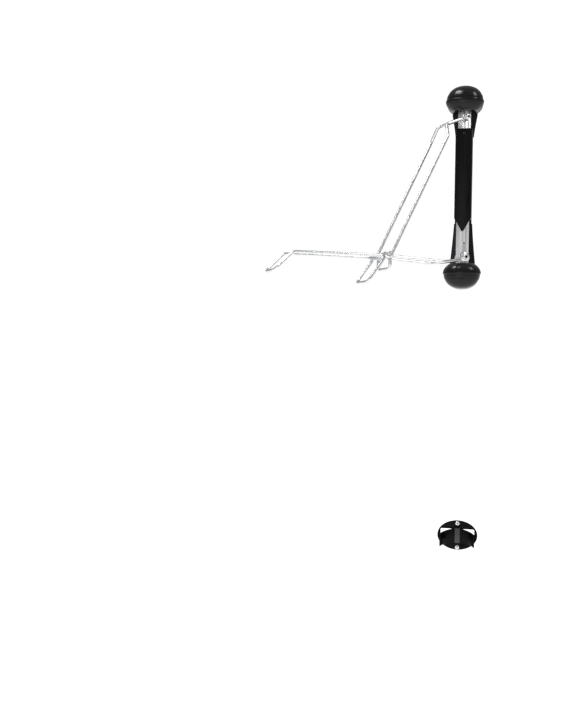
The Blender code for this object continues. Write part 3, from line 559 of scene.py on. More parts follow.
def weld_bead_tree():
    """Row of overlapping ripples along a line, as a run of weld leaves them."""
    tree = start_tree("weld_bead")
    named_input(tree, "Bead Radius", "NodeSocketFloat", 0.0012)
    named_input(tree, "Ripple Spacing", "NodeSocketFloat", 0.0009)
    named_input(tree, "Seed", "NodeSocketInt", 7)
    named_input(tree, "Finish", "NodeSocketMaterial")
    entry = tree.nodes.new("NodeGroupInput")
    link = tree.links.new
    path = tree.nodes.new("GeometryNodeMeshToCurve")
    dots = tree.nodes.new("GeometryNodeCurveToPoints")
    dots.mode = "LENGTH"
    ball = tree.nodes.new("GeometryNodeMeshIcoSphere")
    ball.inputs["Subdivisions"].default_value = 2
    copies = tree.nodes.new("GeometryNodeInstanceOnPoints")
    vary = tree.nodes.new("FunctionNodeRandomValue")
    vary.data_type = "FLOAT"
    vary.inputs["Min"].default_value = 0.85
    vary.inputs["Max"].default_value = 1.12
    link(entry.outputs["Geometry"], path.inputs["Mesh"])
    link(path.outputs["Curve"], dots.inputs["Curve"])
    link(entry.outputs["Ripple Spacing"], dots.inputs["Length"])
    link(entry.outputs["Bead Radius"], ball.inputs["Radius"])
    link(entry.outputs["Seed"], vary.inputs["Seed"])
    link(dots.outputs["Points"], copies.inputs["Points"])
    link(ball.outputs["Mesh"], copies.inputs["Instance"])
    link(vary.outputs["Value"], copies.inputs["Scale"])
    close_tree(tree, copies.outputs["Instances"], entry)
    return tree


ROD_TREE = bent_rod_tree()
SCREW_TREE = recessed_screw_tree()
WELD_TREE = weld_bead_tree()


def run_tree(piece, tree, **values):
    """Run a tree on the piece's own mesh, with its inputs set by identifier, and keep the result."""
    modifier = piece.modifiers.new(tree.name, "NODES")
    modifier.node_group = tree
    for item in tree.interface.items_tree:
        key = item.name.replace(" ", "_").lower()
        if item.in_out == "INPUT" and key in values:
            modifier[item.identifier] = values[key]
    bake(piece)


def path_mesh(name, points, cyclic=False):
    """Polyline with a bend radius and a thickness at each point: (x, y, z), bend, thickness."""
    mesh = bpy.data.meshes.new(name)
    count = len(points)
    edges = [(k, (k + 1) % count) for k in range(count if cyclic else count - 1)]
    mesh.from_pydata([point for point, _, _ in points], edges, [])
    for label, index in (("bend_radius", 1), ("thickness", 2)):
        attribute = mesh.attributes.new(label, "FLOAT", "POINT")
        attribute.data.foreach_set("value", [point[index] for point in points])
    return new_object(name, mesh)


def rod(name, points, radius=ROD, cyclic=False, finish=rod_metal):
    piece = path_mesh(name, points, cyclic)
    run_tree(piece, ROD_TREE, rod_radius=radius, sides=32, bend_steps=14, finish=finish)
    return piece


def in_cross(places, head_radius, head_height):
    """Test for points inside the cross recess of any of the screws, whose faces get painted shade."""
    def test(point):
        for x, y, z in places:
            depth = (y - point.y) / head_height
            if math.hypot(point.x - x, point.z - z) < head_radius * 0.56 and 0.2 < depth < 0.8:
                return True
        return False
    return test


def screws(name, places, head_radius, head_height, shank_radius, shank_length, finish):
    mesh = bpy.data.meshes.new(name)
    mesh.from_pydata(places, [], [])
    piece = new_object(name, mesh)
    run_tree(piece, SCREW_TREE, head_radius=head_radius, head_height=head_height,
             shank_radius=shank_radius, shank_length=shank_length, finish=finish)
    return piece


# ---------------------------------------------------------------- brackets and caps
def dome_half_width(height):
    if height <= DOME_EQUATOR:
        rise = (DOME_EQUATOR - height) / DOME_INNER_HALF
        return DOME_RADIUS * math.sqrt(max(0.0, 1 - rise * rise))
    rise = (height - DOME_EQUATOR) / CAP_HALF
    return CAP_RADIUS * max(0.0, 1 - rise ** CAP_FULLNESS) ** (1 / CAP_FULLNESS)


def dome_section(half_width, height, back=0.0, sides=72):
    """Half ellipse towards the room and straight sides back to the wall."""
    points = []
    for k in range(sides + 1):
        turn = math.pi * k / sides
        points.append((-half_width * math.cos(turn),
                       AXIS_Y - half_width * DOME_DEPTH_RATIO * math.sin(turn), height))
    points.append((half_width * 0.95, back, height))
    points.append((-half_width * 0.95, back, height))
    return points


def flipped(ring, sign):
    return [(x, y, z * sign) for x, y, z in ring]


def bracket(name, sign, neck_end, tongue_end):
    """Dome collar with its lip, the neck plate against the wall and the screw tab."""
    rings = []
    for k in range(20):
        height = DOME_MOUTH + (DOME_EQUATOR - DOME_MOUTH) * k / 19
        rings.append(flipped(dome_section(dome_half_width(height), height), sign))
    lip_drop = DOME_RADIUS - CAP_RADIUS
    for angle in (20, 45, 70, 90):
        turn = math.radians(angle)
        half = DOME_RADIUS - lip_drop * (1 - math.cos(turn))
        height = LIP_START + lip_drop * math.sin(turn)
        rings.append(flipped(dome_section(half, height), sign))
    start = LIP_START + lip_drop
    for k in range(1, 9):
        height = start + (CAP_SEAM - start) * k / 8
        rings.append(flipped(dome_section(dome_half_width(height), height), sign))
    piece = loft(name + "_moulding", rings)

    rings = []
    for k in range(33):
        height = neck_end + (NECK_TOP - neck_end) * k / 32
        share = min(1.0, (height - neck_end) / (NECK_FLARE_END - neck_end))
        half = NECK_WAIST + (NECK_FOOT - NECK_WAIST) * share ** 1.25
        outline = [(half, 0.0)]
        outline += arc((half - NECK_CORNER, NECK_CORNER - NECK_DEPTH), NECK_CORNER, 0, -90, 8)
        outline += arc((NECK_CORNER - half, NECK_CORNER - NECK_DEPTH), NECK_CORNER, -90, -180, 8)
        outline.append((-half, 0.0))
        rings.append([(x, y, height * sign) for x, y in outline])
    join(piece, loft("neck", rings))
    low, high = sorted((TAB_RANGE[0] * sign, TAB_RANGE[1] * sign))
    join(piece, block("tab", (-TAB_HALF, -TAB_DEPTH, low), (TAB_HALF, 0, high)))

    axis = (0, 0, sign)
    middle = (0, AXIS_Y, 0)
    cut(piece, turned("well", ((0.230, WELL_RADIUS), (WELL_FLOOR, WELL_RADIUS)), middle, axis, 72))
    cut(piece, turned("bore", ((0.250, BORE_RADIUS), (0.280, BORE_RADIUS)), middle, axis, 48))
    cut(piece, turned("pocket", ((WEB_END, POCKET_RADIUS), (0.295, POCKET_RADIUS)), middle, axis, 72))
    half = TONGUE_HALF + GAP
    low, high = sorted(((neck_end - 0.01) * sign, (tongue_end + GAP) * sign))
    cut(piece, block("recess", (-half, -TONGUE_DEPTH - GAP, low), (half, 0.002, high)))
    for x in (-WALL_SCREW_X, WALL_SCREW_X):
        foot = (x, 0.004, WALL_SCREW_Z * sign)
        cut(piece, turned("hole", ((-0.005, 0.0033), (0.020, 0.0033)), foot, (0, -1, 0), 32))
    for height in RAIL_SCREWS:
        if height * sign > 0:
            profile = ((-0.002, RAIL_SCREW_HOLE), (0.0062, RAIL_SCREW_HOLE), (0.0062, 0.0046),
                       (0.012, 0.0046))
            cut(piece, turned("seat", profile, (0, 0, height), (0, -1, 0), 32))
    clean(piece)
    round_edges(piece, 0.0004, angle=38, segments=2)
    install(piece, "wall_side", gloss_black, (name,))


def cap(name, sign):
    """Hollow end cap that closes the dome, with a rounded rim and a lever slot at its seam."""
    start = CAP_SEAM + GAP
    end = CAP_TOP
    outer = []
    inner = []
    for k in range(30):
        level = math.sin(math.pi / 2 * k / 29)
        height = start + (end - start) * level
        half = dome_half_width(height) - CAP_STEP
        outer.append(flipped(dome_section(half, height, back=-GAP), sign))
    for k in reversed(range(22)):
        level = math.sin(math.pi / 2 * k / 23)
        height = start + (end - CAP_WALL - start) * level
        half = dome_half_width(height + CAP_WALL) - CAP_STEP - CAP_WALL
        inner.append(flipped(dome_section(half, height, back=-GAP - CAP_WALL), sign))
    piece = loft(name + "_moulding", inner + outer)
    low, high = sorted(((CAP_SEAM - 0.004) * sign, (TAB_RANGE[1] + 2 * GAP) * sign))
    cut(piece, block("notch", (-TAB_HALF - 0.0005, -TAB_DEPTH - GAP, low), (TAB_HALF + 0.0005, 0.002, high)))
    front = AXIS_Y - CAP_RADIUS * DOME_DEPTH_RATIO
    low, high = sorted(((CAP_SEAM - 0.001) * sign, (CAP_SEAM + 0.0018) * sign))
    cut(piece, block("lever_slot", (-0.005, front - 0.01, low), (0.005, front + 0.012, high)))
    clean(piece)
    round_edges(piece, 0.0005, angle=40, segments=2)
    install(piece, "wall_side", gloss_black, (name,))


def back_rail():
    """Black extrusion behind the cover, with rebated edges and a tongue into each bracket."""
    low = -BOTTOM_NECK_END + GAP
    high = TOP_NECK_END - GAP
    step = RAIL_HALF - RAIL_STEP
    outline = [(-RAIL_HALF, 0), (-RAIL_HALF, RAIL_STEP_Y), (-step, RAIL_STEP_Y), (-step, -NECK_DEPTH),
               (step, -NECK_DEPTH), (step, RAIL_STEP_Y), (RAIL_HALF, RAIL_STEP_Y), (RAIL_HALF, 0)]
    piece = loft("back_rail_extrusion", [[(x, y, z) for x, y in outline] for z in (low, high)])
    tongue = block("tongue", (-TONGUE_HALF, -TONGUE_DEPTH, -TONGUE_FOOT), (TONGUE_HALF, 0, TONGUE_TOP))
    join(piece, tongue)
    drill = ((-0.002, RAIL_SCREW_HOLE), (0.012, RAIL_SCREW_HOLE))
    for height in RAIL_SCREWS:
        cut(piece, turned("hole", drill, (0, 0, height), (0, -1, 0), 32))
    clean(piece)
    round_edges(piece, 0.0004)
    install(piece, "wall_side", rail_black, ("back_rail",))


def cover_section(inset, back, height):
    """Outline of the channel-shaped cover at one height, inset by a wall or by nothing."""
    half = COVER_HALF - inset
    outline = rounded_outline(half, COVER_FRONT + inset, back, COVER_CORNER - inset)
    return [(x, y, height) for x, y in outline]


def front_cover():
    """Plain channel cover, straight at the top and cut to a blunt point at its lower end."""
    piece = loft("front_cover_shell", [cover_section(0, 0.02, z) for z in (COVER_TIP, COVER_TOP)])
    below = COVER_TIP - PAST
    above = COVER_TOP + PAST
    wide = 0.04
    cut(piece, loft("hollow", [cover_section(COVER_WALL, 0.03, z) for z in (below, above)]))
    cut(piece, block("back", (-wide, -0.006, below), (wide, wide, above)))
    neck_front = -NECK_DEPTH - GAP
    cut(piece, block("top_clear", (-wide, neck_front, TOP_NECK_END - GAP), (wide, wide, above)))
    cut(piece, block("foot_clear", (-wide, neck_front, below), (wide, wide, -BOTTOM_NECK_END + GAP)))
    blunt = 0.003
    under = COVER_TIP - 0.03
    for sign in (-1, 1):
        beside = sign * 0.05
        wedge = [(sign * blunt, COVER_TIP), (sign * COVER_HALF, COVER_SHOULDER),
                 (beside, COVER_SHOULDER), (beside, under), (sign * blunt, under)]
        cut(piece, loft("point", [[(x, y, z) for x, z in wedge] for y in (-0.09, 0.03)]))
    screw_place = (0, COVER_FRONT, COVER_SCREW_Z)
    cut(piece, turned("hole", ((-0.004, 0.0021), (0.006, 0.0021)), screw_place, (0, 1, 0), 32))
    cut(piece, turned("countersink", ((-0.001, 0.0052), (0.0004, 0.0038)), screw_place, (0, 1, 0), 32))
    clean(piece)
    round_edges(piece, 0.0005)
    install(piece, "wall_side", cover_black, ("front_cover",))


def guide_collar():
    """Block across the top of the cover, with the round way that the column turns in."""
    low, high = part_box("guide_collar")
    outline = rounded_outline(high.x, low.y, high.y, COVER_CORNER - COVER_WALL)
    piece = loft("guide_collar_moulding", [[(x, y, z) for x, y in outline] for z in (low.z, high.z)])
    way = ((low.z - 0.01, COLLAR_WAY), (high.z + 0.01, COLLAR_WAY))
    cut(piece, turned("way", way, (0, AXIS_Y, 0), (0, 0, 1), 72))
    pilot = ((-0.001, 0.0016), (0.0045, 0.0016))
    cut(piece, turned("pilot", pilot, (0, low.y, COVER_SCREW_Z), (0, 1, 0), 24))
    clean(piece)
    round_edges(piece, 0.0005)
    install(piece, "wall_side", dark_moulding, ("guide_collar",))


def wall_fasteners():
    """Screws and washers that hold the brackets to the wall and rail, and the cover to its collar."""
    for row, sign in (("top", 1), ("bottom", -1)):
        seat = -0.0078
        places = [(x, seat, WALL_SCREW_Z * sign) for x in (-WALL_SCREW_X, WALL_SCREW_X)]
        nodes = [f"{row}_wall_screw_{word}" for word in ("left", "right")]
        piece = screws(f"{row}_wall_screws", places, *WALL_SCREW_HEAD, 0.003, 0.0072, screw_metal)
        # The cross recesses of these screws get painted shade.
        install(piece, "wall_side", screw_metal, nodes,
                shade_and_light_paint=(in_cross(places, *WALL_SCREW_HEAD), recess_shade_paint))
        for word, x in (("left", -WALL_SCREW_X), ("right", WALL_SCREW_X)):
            profile = ((0.0063, 0.0034), (0.0063, 0.0072), (0.0066, 0.0075), (0.0072, 0.0075),
                       (0.0075, 0.0072), (0.0075, 0.0034))
            foot = (x, 0, WALL_SCREW_Z * sign)
            washer = turned(f"{row}_wall_washer_{word}_ring", profile, foot, (0, -1, 0), 48, hollow=True)
            install(washer, "wall_side", screw_metal, (f"{row}_wall_washer_{word}",))
        heights = [height for height in RAIL_SCREWS if height * sign > 0]
        places = [(0, -0.0065, height) for height in heights]
        nodes = [f"{row}_rail_screw_{number}" for number in (1, 2)]
        piece = screws(f"{row}_rail_screws", places, 0.0042, 0.0022, 0.0019, 0.006, screw_metal)
        install(piece, "wall_side", screw_metal, nodes)
    place = (0, COVER_FRONT + GAP, COVER_SCREW_Z)
    piece = screws("cover_fixing_screw", [place], 0.0034, 0.0018, 0.0013, 0.0032, black_screw)
    install(piece, "wall_side", black_screw, ("cover_screw",))


# ---------------------------------------------------------------- rear tyre rest
WEB_HALF = (0.0085, 0.0235)
WEB_FRONT = -0.014
WING_ROOT = (0.004, -0.0115)
WING_REACH = 0.0465
WING_RISE = 0.036
WING_ANGLE = math.radians(78)
WING_THICKNESS = 0.0045
WING_HALF_HEIGHTS = (0.0235, 0.0202)
WING_DROP = 0.010
WINDOW_X = (0.0165, 0.0535)
WINDOW_Z = (-0.0215, 0.0205)


def wing(side):
    """Curved wing with a rounded rim, from the middle web out to one side."""
    rings = []
    for k in range(25):
        share = k / 24
        angle = WING_ANGLE * share
        x = WING_ROOT[0] + WING_REACH * math.sin(angle) / math.sin(WING_ANGLE)
        y = WING_ROOT[1] - WING_RISE * (1 - math.cos(angle)) / (1 - math.cos(WING_ANGLE))
        tangent = Vector((WING_REACH * math.cos(angle), -1.2 * WING_RISE * math.sin(angle), 0)).normalized()
        normal = Vector((-tangent.y, tangent.x, 0))
        tall = WING_HALF_HEIGHTS[0] + (WING_HALF_HEIGHTS[1] - WING_HALF_HEIGHTS[0]) * share
        rim = WING_THICKNESS / 2
        ring = []
        for centre_z, start in ((tall - rim * 0.5, 0), (rim * 0.5 - tall, 180)):
            for along, up in arc((0, 0), 1.0, start, start + 180, 8):
                offset = rim + rim * along
                height = centre_z + rim * 0.5 * up
                point = Vector((x, y, 0)) + normal * offset
                ring.append((point.x * side, point.y, REST_Z - WING_DROP * share + height))
        rings.append(ring)
    return loft("wing", rings)


def tyre_rest():
    """Oval plate with a window behind each wing, an upright middle web and the two wings."""
    edge = 0.0022
    levels = [(0.0, 0.0)]
    for angle in (0, 25, 50, 72, 90):
        turn = math.radians(angle)
        levels.append((-REST_PLATE + edge * (1 - math.sin(turn)), edge * (1 - math.cos(turn))))
    sides = 120
    rings = []
    for y, inset in levels:
        ring = []
        for k in range(sides):
            turn = TAU * k / sides
            ring.append(((REST_HALF_WIDTH - inset) * math.cos(turn), y,
                         REST_Z + (REST_HALF_HEIGHT - inset) * math.sin(turn)))
        rings.append(ring)
    piece = loft("tyre_rest_moulding", rings)
    for side in (-1, 1):
        low, high = sorted((side * WINDOW_X[0], side * WINDOW_X[1]))
        middle = (low + high) / 2
        outline = rounded_outline((high - low) / 2, WINDOW_Z[0], WINDOW_Z[1], 0.004, 6)
        cut(piece, loft("window", [[(middle + x, y, REST_Z + z) for x, z in outline] for y in (-0.02, 0.01)]))
    outline = rounded_outline(WEB_HALF[0], WEB_FRONT, -0.002, 0.002, 8)
    heights = (REST_Z - WEB_HALF[1], REST_Z + WEB_HALF[1])
    join(piece, loft("web", [[(x, y, z) for x, y in outline] for z in heights]))
    for side in (-1, 1):
        join(piece, wing(side))
    for offset in (-REST_SCREW_OFFSET, REST_SCREW_OFFSET):
        foot = (0, 0, REST_Z + offset)
        cut(piece, turned("hole", ((-0.003, 0.0030), (0.02, 0.0030)), foot, (0, -1, 0), 40))
    clean(piece)
    round_edges(piece, 0.0006, angle=40, segments=2)

    # Front faces of the middle web, which get painted light.
    def on_web(point):
        return abs(point.x) < WEB_HALF[0] + 0.0002 and point.y < WING_ROOT[1] - 0.001

    # The web's front faces get painted light.
    install(piece, "wall_side", rest_black, ("tyre_rest",), shade_and_light_paint=(on_web, web_painted_light))
    places = [(0, -0.0063, REST_Z + offset) for offset in (-REST_SCREW_OFFSET, REST_SCREW_OFFSET)]
    piece = screws("tyre_rest_screws", places, *REST_SCREW_HEAD, 0.0026, 0.0058, screw_metal)
    nodes = ("tyre_rest_screw_lower", "tyre_rest_screw_upper")
    # The cross recesses of these screws get painted shade.
    install(piece, "wall_side", screw_metal, nodes,
            shade_and_light_paint=(in_cross(places, *REST_SCREW_HEAD), recess_shade_paint))


# ---------------------------------------------------------------- column
def grooved_outline():
    """Rounded rectangle with two square grooves in each side face."""
    outline = rounded_outline(COLUMN_U, -COLUMN_V, COLUMN_V, COLUMN_CORNER, 8)
    top = [(x, COLUMN_V - depth) for x, depth in groove_steps()]
    result = []
    for index, point in enumerate(outline):
        result.append(point)
        following = outline[(index + 1) % len(outline)]
        across = abs(following[0] - point[0]) > COLUMN_U
        if across and point[1] > 0:
            result += top
        elif across:
            result += [(-x, -y) for x, y in top]
    return result


def groove_steps():
    """(x, depth) corners of the grooves, from +x to -x."""
    steps = []
    for centre in (GROOVE_X, -GROOVE_X):
        for x, depth in ((centre + GROOVE_HALF, 0), (centre + GROOVE_HALF, GROOVE_DEPTH),
                         (centre - GROOVE_HALF, GROOVE_DEPTH), (centre - GROOVE_HALF, 0)):
            steps.append((x, depth))
    return steps


def column_tube():
    outline = grooved_outline()
    piece = loft("column_extrusion", [[(x, y, z) for x, y in outline] for z in (-COLUMN_END, COLUMN_END)])
    inner_v = COLUMN_V - COLUMN_WALL
    inside = rounded_outline(COLUMN_U - COLUMN_WALL, COLUMN_WALL - COLUMN_V, inner_v, 0.0015, 5)
    cut(piece, loft("inside", [[(x, y, z) for x, y in inside] for z in (-0.27, 0.27)]))
    for height, radius in ((UPPER_HINGE_Z, UPPER_HOLE), (LOWER_HINGE_Z, LOWER_HOLE)):
        cut(piece, turned("bolt_way", ((-0.03, radius), (0.03, radius)), (0, 0, height), (0, 1, 0), 40))
    cut(piece, turned("small_hole", ((0.005, 0.0025), (0.03, 0.0025)), (0.0015, 0, -0.176), (0, 1, 0), 32))
    clean(piece)
    round_edges(piece, 0.00025, segments=2)
    install(piece, "column", column_metal, ("column_tube",), ARMS)


def hexagon(radius, start, end, origin, side):
    rings = []
    for distance in (start, end):
        rings.append([(origin[0] + radius * math.cos(TAU * k / 6), origin[1] + side * distance,
                       origin[2] + radius * math.sin(TAU * k / 6)) for k in range(6)])
    return loft("hexagon", rings)


def hinge_hardware():
    """Socket-head bolt, nut and the two spacing washers of each hinge."""
    face = EYE_SIDE + EYE_HALF + GAP
    rows = (("upper", UPPER_HINGE_Z, UPPER_BOLT, UPPER_HEAD, 0.0045, 0.0085),
            ("lower", LOWER_HINGE_Z, LOWER_BOLT, LOWER_HEAD, 0.0055, 0.013))
    edge = 0.0012
    for row, height, shank, head, washer_hole, washer_rim in rows:
        centre = (0, 0, height)
        top = face + 0.0048
        profile = [(-face - 0.0075, shank - 0.0006), (-face - 0.0069, shank), (face, shank), (face, head)]
        profile += [(top - edge + along, head - edge + out) for out, along in arc((0, 0), edge, 0, 90, 6)]
        bolt = turned(row + "_hinge_cap_screw", profile, centre, (0, 1, 0), 64)
        mouth = ((top - 0.0006, head * 0.44), (top + 0.001, head * 0.54))
        cut(bolt, turned("mouth", mouth, centre, (0, 1, 0), 48))
        cut(bolt, hexagon(head * 0.46, face + 0.0008, face + 0.009, centre, 1))
        clean(bolt)

        # Faces inside the hex socket, which get painted shade.
        def in_socket(point):
            radial = math.hypot(point.x, point.z - height)
            return radial < head * 0.56 and face + 0.0005 < point.y < top - 0.0002

        # The bolt's hex socket gets painted shade.
        install(bolt, "column", screw_metal, (row + "_hinge_bolt",), ARMS,
                shade_and_light_paint=(in_socket, recess_shade_paint))

        nut = hexagon(head, face, face + 0.0055, centre, -1)
        cone = ((-face + 0.001, head * 0.98), (-face, head * 0.99), (-face - 0.0045, head),
                (-face - 0.0055, head * 0.86), (-face - 0.006, head * 0.8))
        combine(nut, turned("chamfer", cone, centre, (0, 1, 0), 64), "INTERSECT")
        bore = ((-face - 0.01, shank + GAP), (-face + 0.004, shank + GAP))
        cut(nut, turned("bore", bore, centre, (0, 1, 0), 48))
        clean(nut)
        round_edges(nut, 0.00025, segments=2)
        install(nut, "column", screw_metal, (row + "_hinge_nut",), ARMS)

        for word, side in (("near", 1), ("far", -1)):
            start = COLUMN_V + GAP
            profile = ((start, washer_hole), (start, washer_rim - 0.0004), (start + 0.0004, washer_rim),
                       (SPACER_END - 0.0004, washer_rim), (SPACER_END, washer_rim - 0.0004),
                       (SPACER_END, washer_hole))
            ring = turned(f"{row}_spacer_{word}", profile, centre, (0, side, 0), 56, hollow=True)
            install(ring, "column", dark_moulding, (f"{row}_hinge_washer_{word}",), ARMS)


# ---------------------------------------------------------------- lower arm and brace
def press_end(piece, middle_side, reach, blend):
    """Squeeze the rod's end to lie inside its eye: x below reach is flat, then it fills out."""
    flat = EYE_HALF - GAP
    loose = 0.016
    for vertex in piece.data.vertices:
        share = min(1.0, max(0.0, (vertex.co.x - reach) / blend))
        if share >= 1.0 or vertex.co.y * middle_side < 0:
            continue
        limit = flat + (loose - flat) * share ** 2
        offset = vertex.co.y - middle_side
        vertex.co.y = middle_side + max(-limit, min(limit, offset))


def straight_start(start, end, stop, count=9):
    """Points from start towards end, as far as x is stop, so that press_end has rings to move."""
    points = []
    for k in range(count):
        x = start[0] + (stop - start[0]) * k / (count - 1)
        share = (x - start[0]) / (end[0] - start[0])
        points.append(tuple(a + (b - a) * share for a, b in zip(start, end)))
    return points


def add_eyes(piece, sides, radius, hole):
    """Join a chamfered eye to each pressed end and drill it."""
    chamfer = 0.0007
    profile = ((-EYE_HALF, radius - chamfer), (chamfer - EYE_HALF, radius),
               (EYE_HALF - chamfer, radius), (EYE_HALF, radius - chamfer))
    drill = ((-0.012, hole), (0.012, hole))
    for side in sides:
        join(piece, turned("eye", profile, (0, side * EYE_SIDE, 0), (0, 1, 0), 72))
    for side in sides:
        cut(piece, turned("eye_hole", drill, (0, side * EYE_SIDE, 0), (0, 1, 0), 48))


def lower_arm():
    to_hinge = ARMS @ Matrix.Translation((0, 0, LOWER_HINGE_Z))
    bend_point = (DOGLEG[0], ARM_SIDE, DOGLEG[1])
    half = [(point, 0) for point in straight_start((0.0, EYE_SIDE, -0.008), bend_point, LOWER_EYE + 0.024)]
    half += [(bend_point, 0.030),
            ((INNER_HOOP[0], ARM_SIDE, RAIL_Z), 0.012), ((INNER_HOOP[0], ARM_SIDE, INNER_HOOP[1]), 0.014)]
    path = [(point, bend, 1.0) for point, bend in half]
    path += [((x, -y, z), bend, 1.0) for (x, y, z), bend in reversed(half)]
    piece = rod("inner_loop_rod", path)
    for side in (1, -1):
        press_end(piece, side * EYE_SIDE, LOWER_EYE, 0.022)
    add_eyes(piece, (1, -1), LOWER_EYE, LOWER_HOLE)
    clean(piece)
    install(piece, "lower_arm", rod_metal, ("inner_loop",), to_hinge, sharp=50)

    side = [((MID_HOOP[0], ARM_SIDE, MID_HOOP[1]), 0.014), ((MID_HOOP_ROOT_X, ARM_SIDE, RAIL_Z), 0.010),
            ((END_BEND_X, ARM_SIDE, RAIL_Z), 0.020), ((END_HOOP[0], ARM_SIDE, END_HOOP[1]), 0.018)]
    path = [(point, bend, 1.0) for point, bend in side]
    path += [((x, -y, z), bend, 1.0) for (x, y, z), bend in reversed(side)]
    piece = rod("cradle_loop_rod", path, cyclic=True)
    install(piece, "lower_arm", rod_metal, ("cradle_loop",), to_hinge, sharp=50)

    for word, sign in (("near", 1), ("far", -1)):
        outline = plate_outline((PLATE_INNER, PIN, PLATE_OUTER), PLATE_RADIUS)
        faces = (sign * PLATE_INSIDE, sign * (ARM_SIDE - ROD - GAP))
        plate = loft(f"junction_gusset_{word}", [[(x, y, z) for x, z in outline] for y in faces])
        round_edges(plate, 0.0008)
        install(plate, "lower_arm", rod_metal, (f"junction_plate_{word}",), to_hinge)

        rim = 0.0006
        profile = ((ARM_SIDE - ROD, PIN_RADIUS), (PIN_NECK, PIN_RADIUS), (PIN_NECK, PIN_HEAD - rim),
                   (PIN_NECK + rim, PIN_HEAD), (PIN_END - rim, PIN_HEAD), (PIN_END, PIN_HEAD - rim))
        stud = turned(f"hook_stud_{word}", profile, (PIN[0], 0, PIN[1]), (0, sign, 0), 48)
        install(stud, "lower_arm", screw_metal, (f"hook_pin_{word}",), to_hinge)


def plate_outline(centres, radius, steps=14):
    """Outline of a plate that wraps discs of one radius set on a triangle, pointing up."""
    (x0, z0), (x1, z1), (x2, z2) = centres
    rise = math.degrees(math.atan2(z1 - z0, x1 - x0))
    fall = math.degrees(math.atan2(z2 - z1, x2 - x1))
    points = arc((x0, z0), radius, 270, 90 + rise, steps)
    points += arc((x1, z1), radius, 90 + rise, 90 + fall, steps)
    return points + arc((x2, z2), radius, 90 + fall, -90, steps)


def brace():
    to_hinge = ARMS @ Matrix.Translation((0, 0, UPPER_HINGE_Z))
    hook = (PIN[0], PIN[1] + LOWER_HINGE_Z - UPPER_HINGE_Z)
    for word, side in (("near", 1), ("far", -1)):
        touch = (hook[0] + HOOK_RADIUS * math.cos(HOOK_FROM), hook[1] + HOOK_RADIUS * math.sin(HOOK_FROM))
        knee = (BRACE_KNEE[0], side * BRACE_KNEE[1], BRACE_KNEE[2])
        start = straight_start((0.002, side * EYE_SIDE, 0.0), knee, UPPER_EYE + 0.020)
        path = [(point, 0, 1.0) for point in start]
        path += [(knee, 0.016, 1.0),
                ((BRACE_SHOULDER[0], side * BRACE_SIDE, BRACE_SHOULDER[1]), 0.022, 1.0),
                ((touch[0], side * BRACE_SIDE, touch[1]), 0, 1.0)]
        hook_steps = [(k / 18, 1.0) for k in range(1, 18)] + [(0.972, 0.93), (0.99, 0.72), (1.0, 0.4)]
        for share, thickness in hook_steps:
            turn = HOOK_FROM + (HOOK_TO - HOOK_FROM) * share
            place = (hook[0] + HOOK_RADIUS * math.cos(turn), side * BRACE_SIDE,
                     hook[1] + HOOK_RADIUS * math.sin(turn))
            path.append((place, 0, thickness))
        piece = rod(f"brace_arm_{word}", path)
        press_end(piece, side * EYE_SIDE, UPPER_EYE, 0.018)
        add_eyes(piece, (side,), UPPER_EYE, UPPER_HOLE)
        clean(piece)
        install(piece, "brace", rod_metal, (f"brace_rod_{word}",), to_hinge, sharp=50)
    reach = 0.0232
    path = [((TIE_PLACE[0], y, TIE_PLACE[1]), 0, 1.0) for y in (-reach, -reach / 2, 0, reach / 2, reach)]
    piece = rod("brace_cross_tie", path, TIE_RADIUS)
    install(piece, "brace", rod_metal, ("brace_tie",), to_hinge, sharp=50)


def welds():
    """Weld runs where rods meet plates, and where the tie meets the brace rods."""
    to_hinge = ARMS @ Matrix.Translation((0, 0, LOWER_HINGE_Z))
    lines = []
    beside_rod = 0.0036
    y = ARM_SIDE - ROD - GAP + 0.0006
    for sign in (1, -1):
        for z in (RAIL_Z - beside_rod, RAIL_Z + beside_rod):
            for ends in ((0.2565, 0.2615), (0.291, 0.304)):
                lines.append([(x, sign * y, z) for x in ends])
    weld_piece("arm_welds", lines, "lower_arm", to_hinge)

    to_hinge = ARMS @ Matrix.Translation((0, 0, UPPER_HINGE_Z))
    rings = []
    for sign in (1, -1):
        rings.append([(TIE_PLACE[0] + a, sign * 0.0222, TIE_PLACE[1] + b)
                      for a, b in arc((0, 0), TIE_RADIUS, 0, 352, 24)])
    weld_piece("tie_welds", rings, "brace", to_hinge)


def weld_piece(name, lines, body, place):
    mesh = bpy.data.meshes.new(name)
    points = []
    edges = []
    for line in lines:
        start = len(points)
        points += line
        edges += [(start + k, start + k + 1) for k in range(len(line) - 1)]
    mesh.from_pydata(points, edges, [])
    piece = new_object(name, mesh)
    run_tree(piece, WELD_TREE, bead_radius=0.0011, ripple_spacing=0.0008, seed=11, finish=weld_metal)
    install(piece, body, weld_metal, (), place, sharp=80)


# ---------------------------------------------------------------- the object
bracket("top_bracket", 1, TOP_NECK_END, TONGUE_TOP)
bracket("bottom_bracket", -1, BOTTOM_NECK_END, TONGUE_FOOT)
cap("top_cap", 1)
cap("bottom_cap", -1)
back_rail()
front_cover()
guide_collar()
wall_fasteners()
tyre_rest()
column_tube()
hinge_hardware()
lower_arm()
brace()
welds()

CARRIED = ((bush_white, ("top_pivot_bush", "bottom_pivot_bush", "top_end_plug", "bottom_end_plug")),
           (screw_metal, ("top_pivot_pin", "bottom_pivot_pin", "top_pivot_clip", "bottom_pivot_clip")),
           (dark_moulding, ("thrust_washer",)))
for material, names in CARRIED:
    for name in names:
        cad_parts[name].data.materials.clear()
        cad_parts[name].data.materials.append(material)


# ---------------------------------------------------------------- floor, light and camera
FLOOR_Z = -1.56
FLOOR_HALF = 120


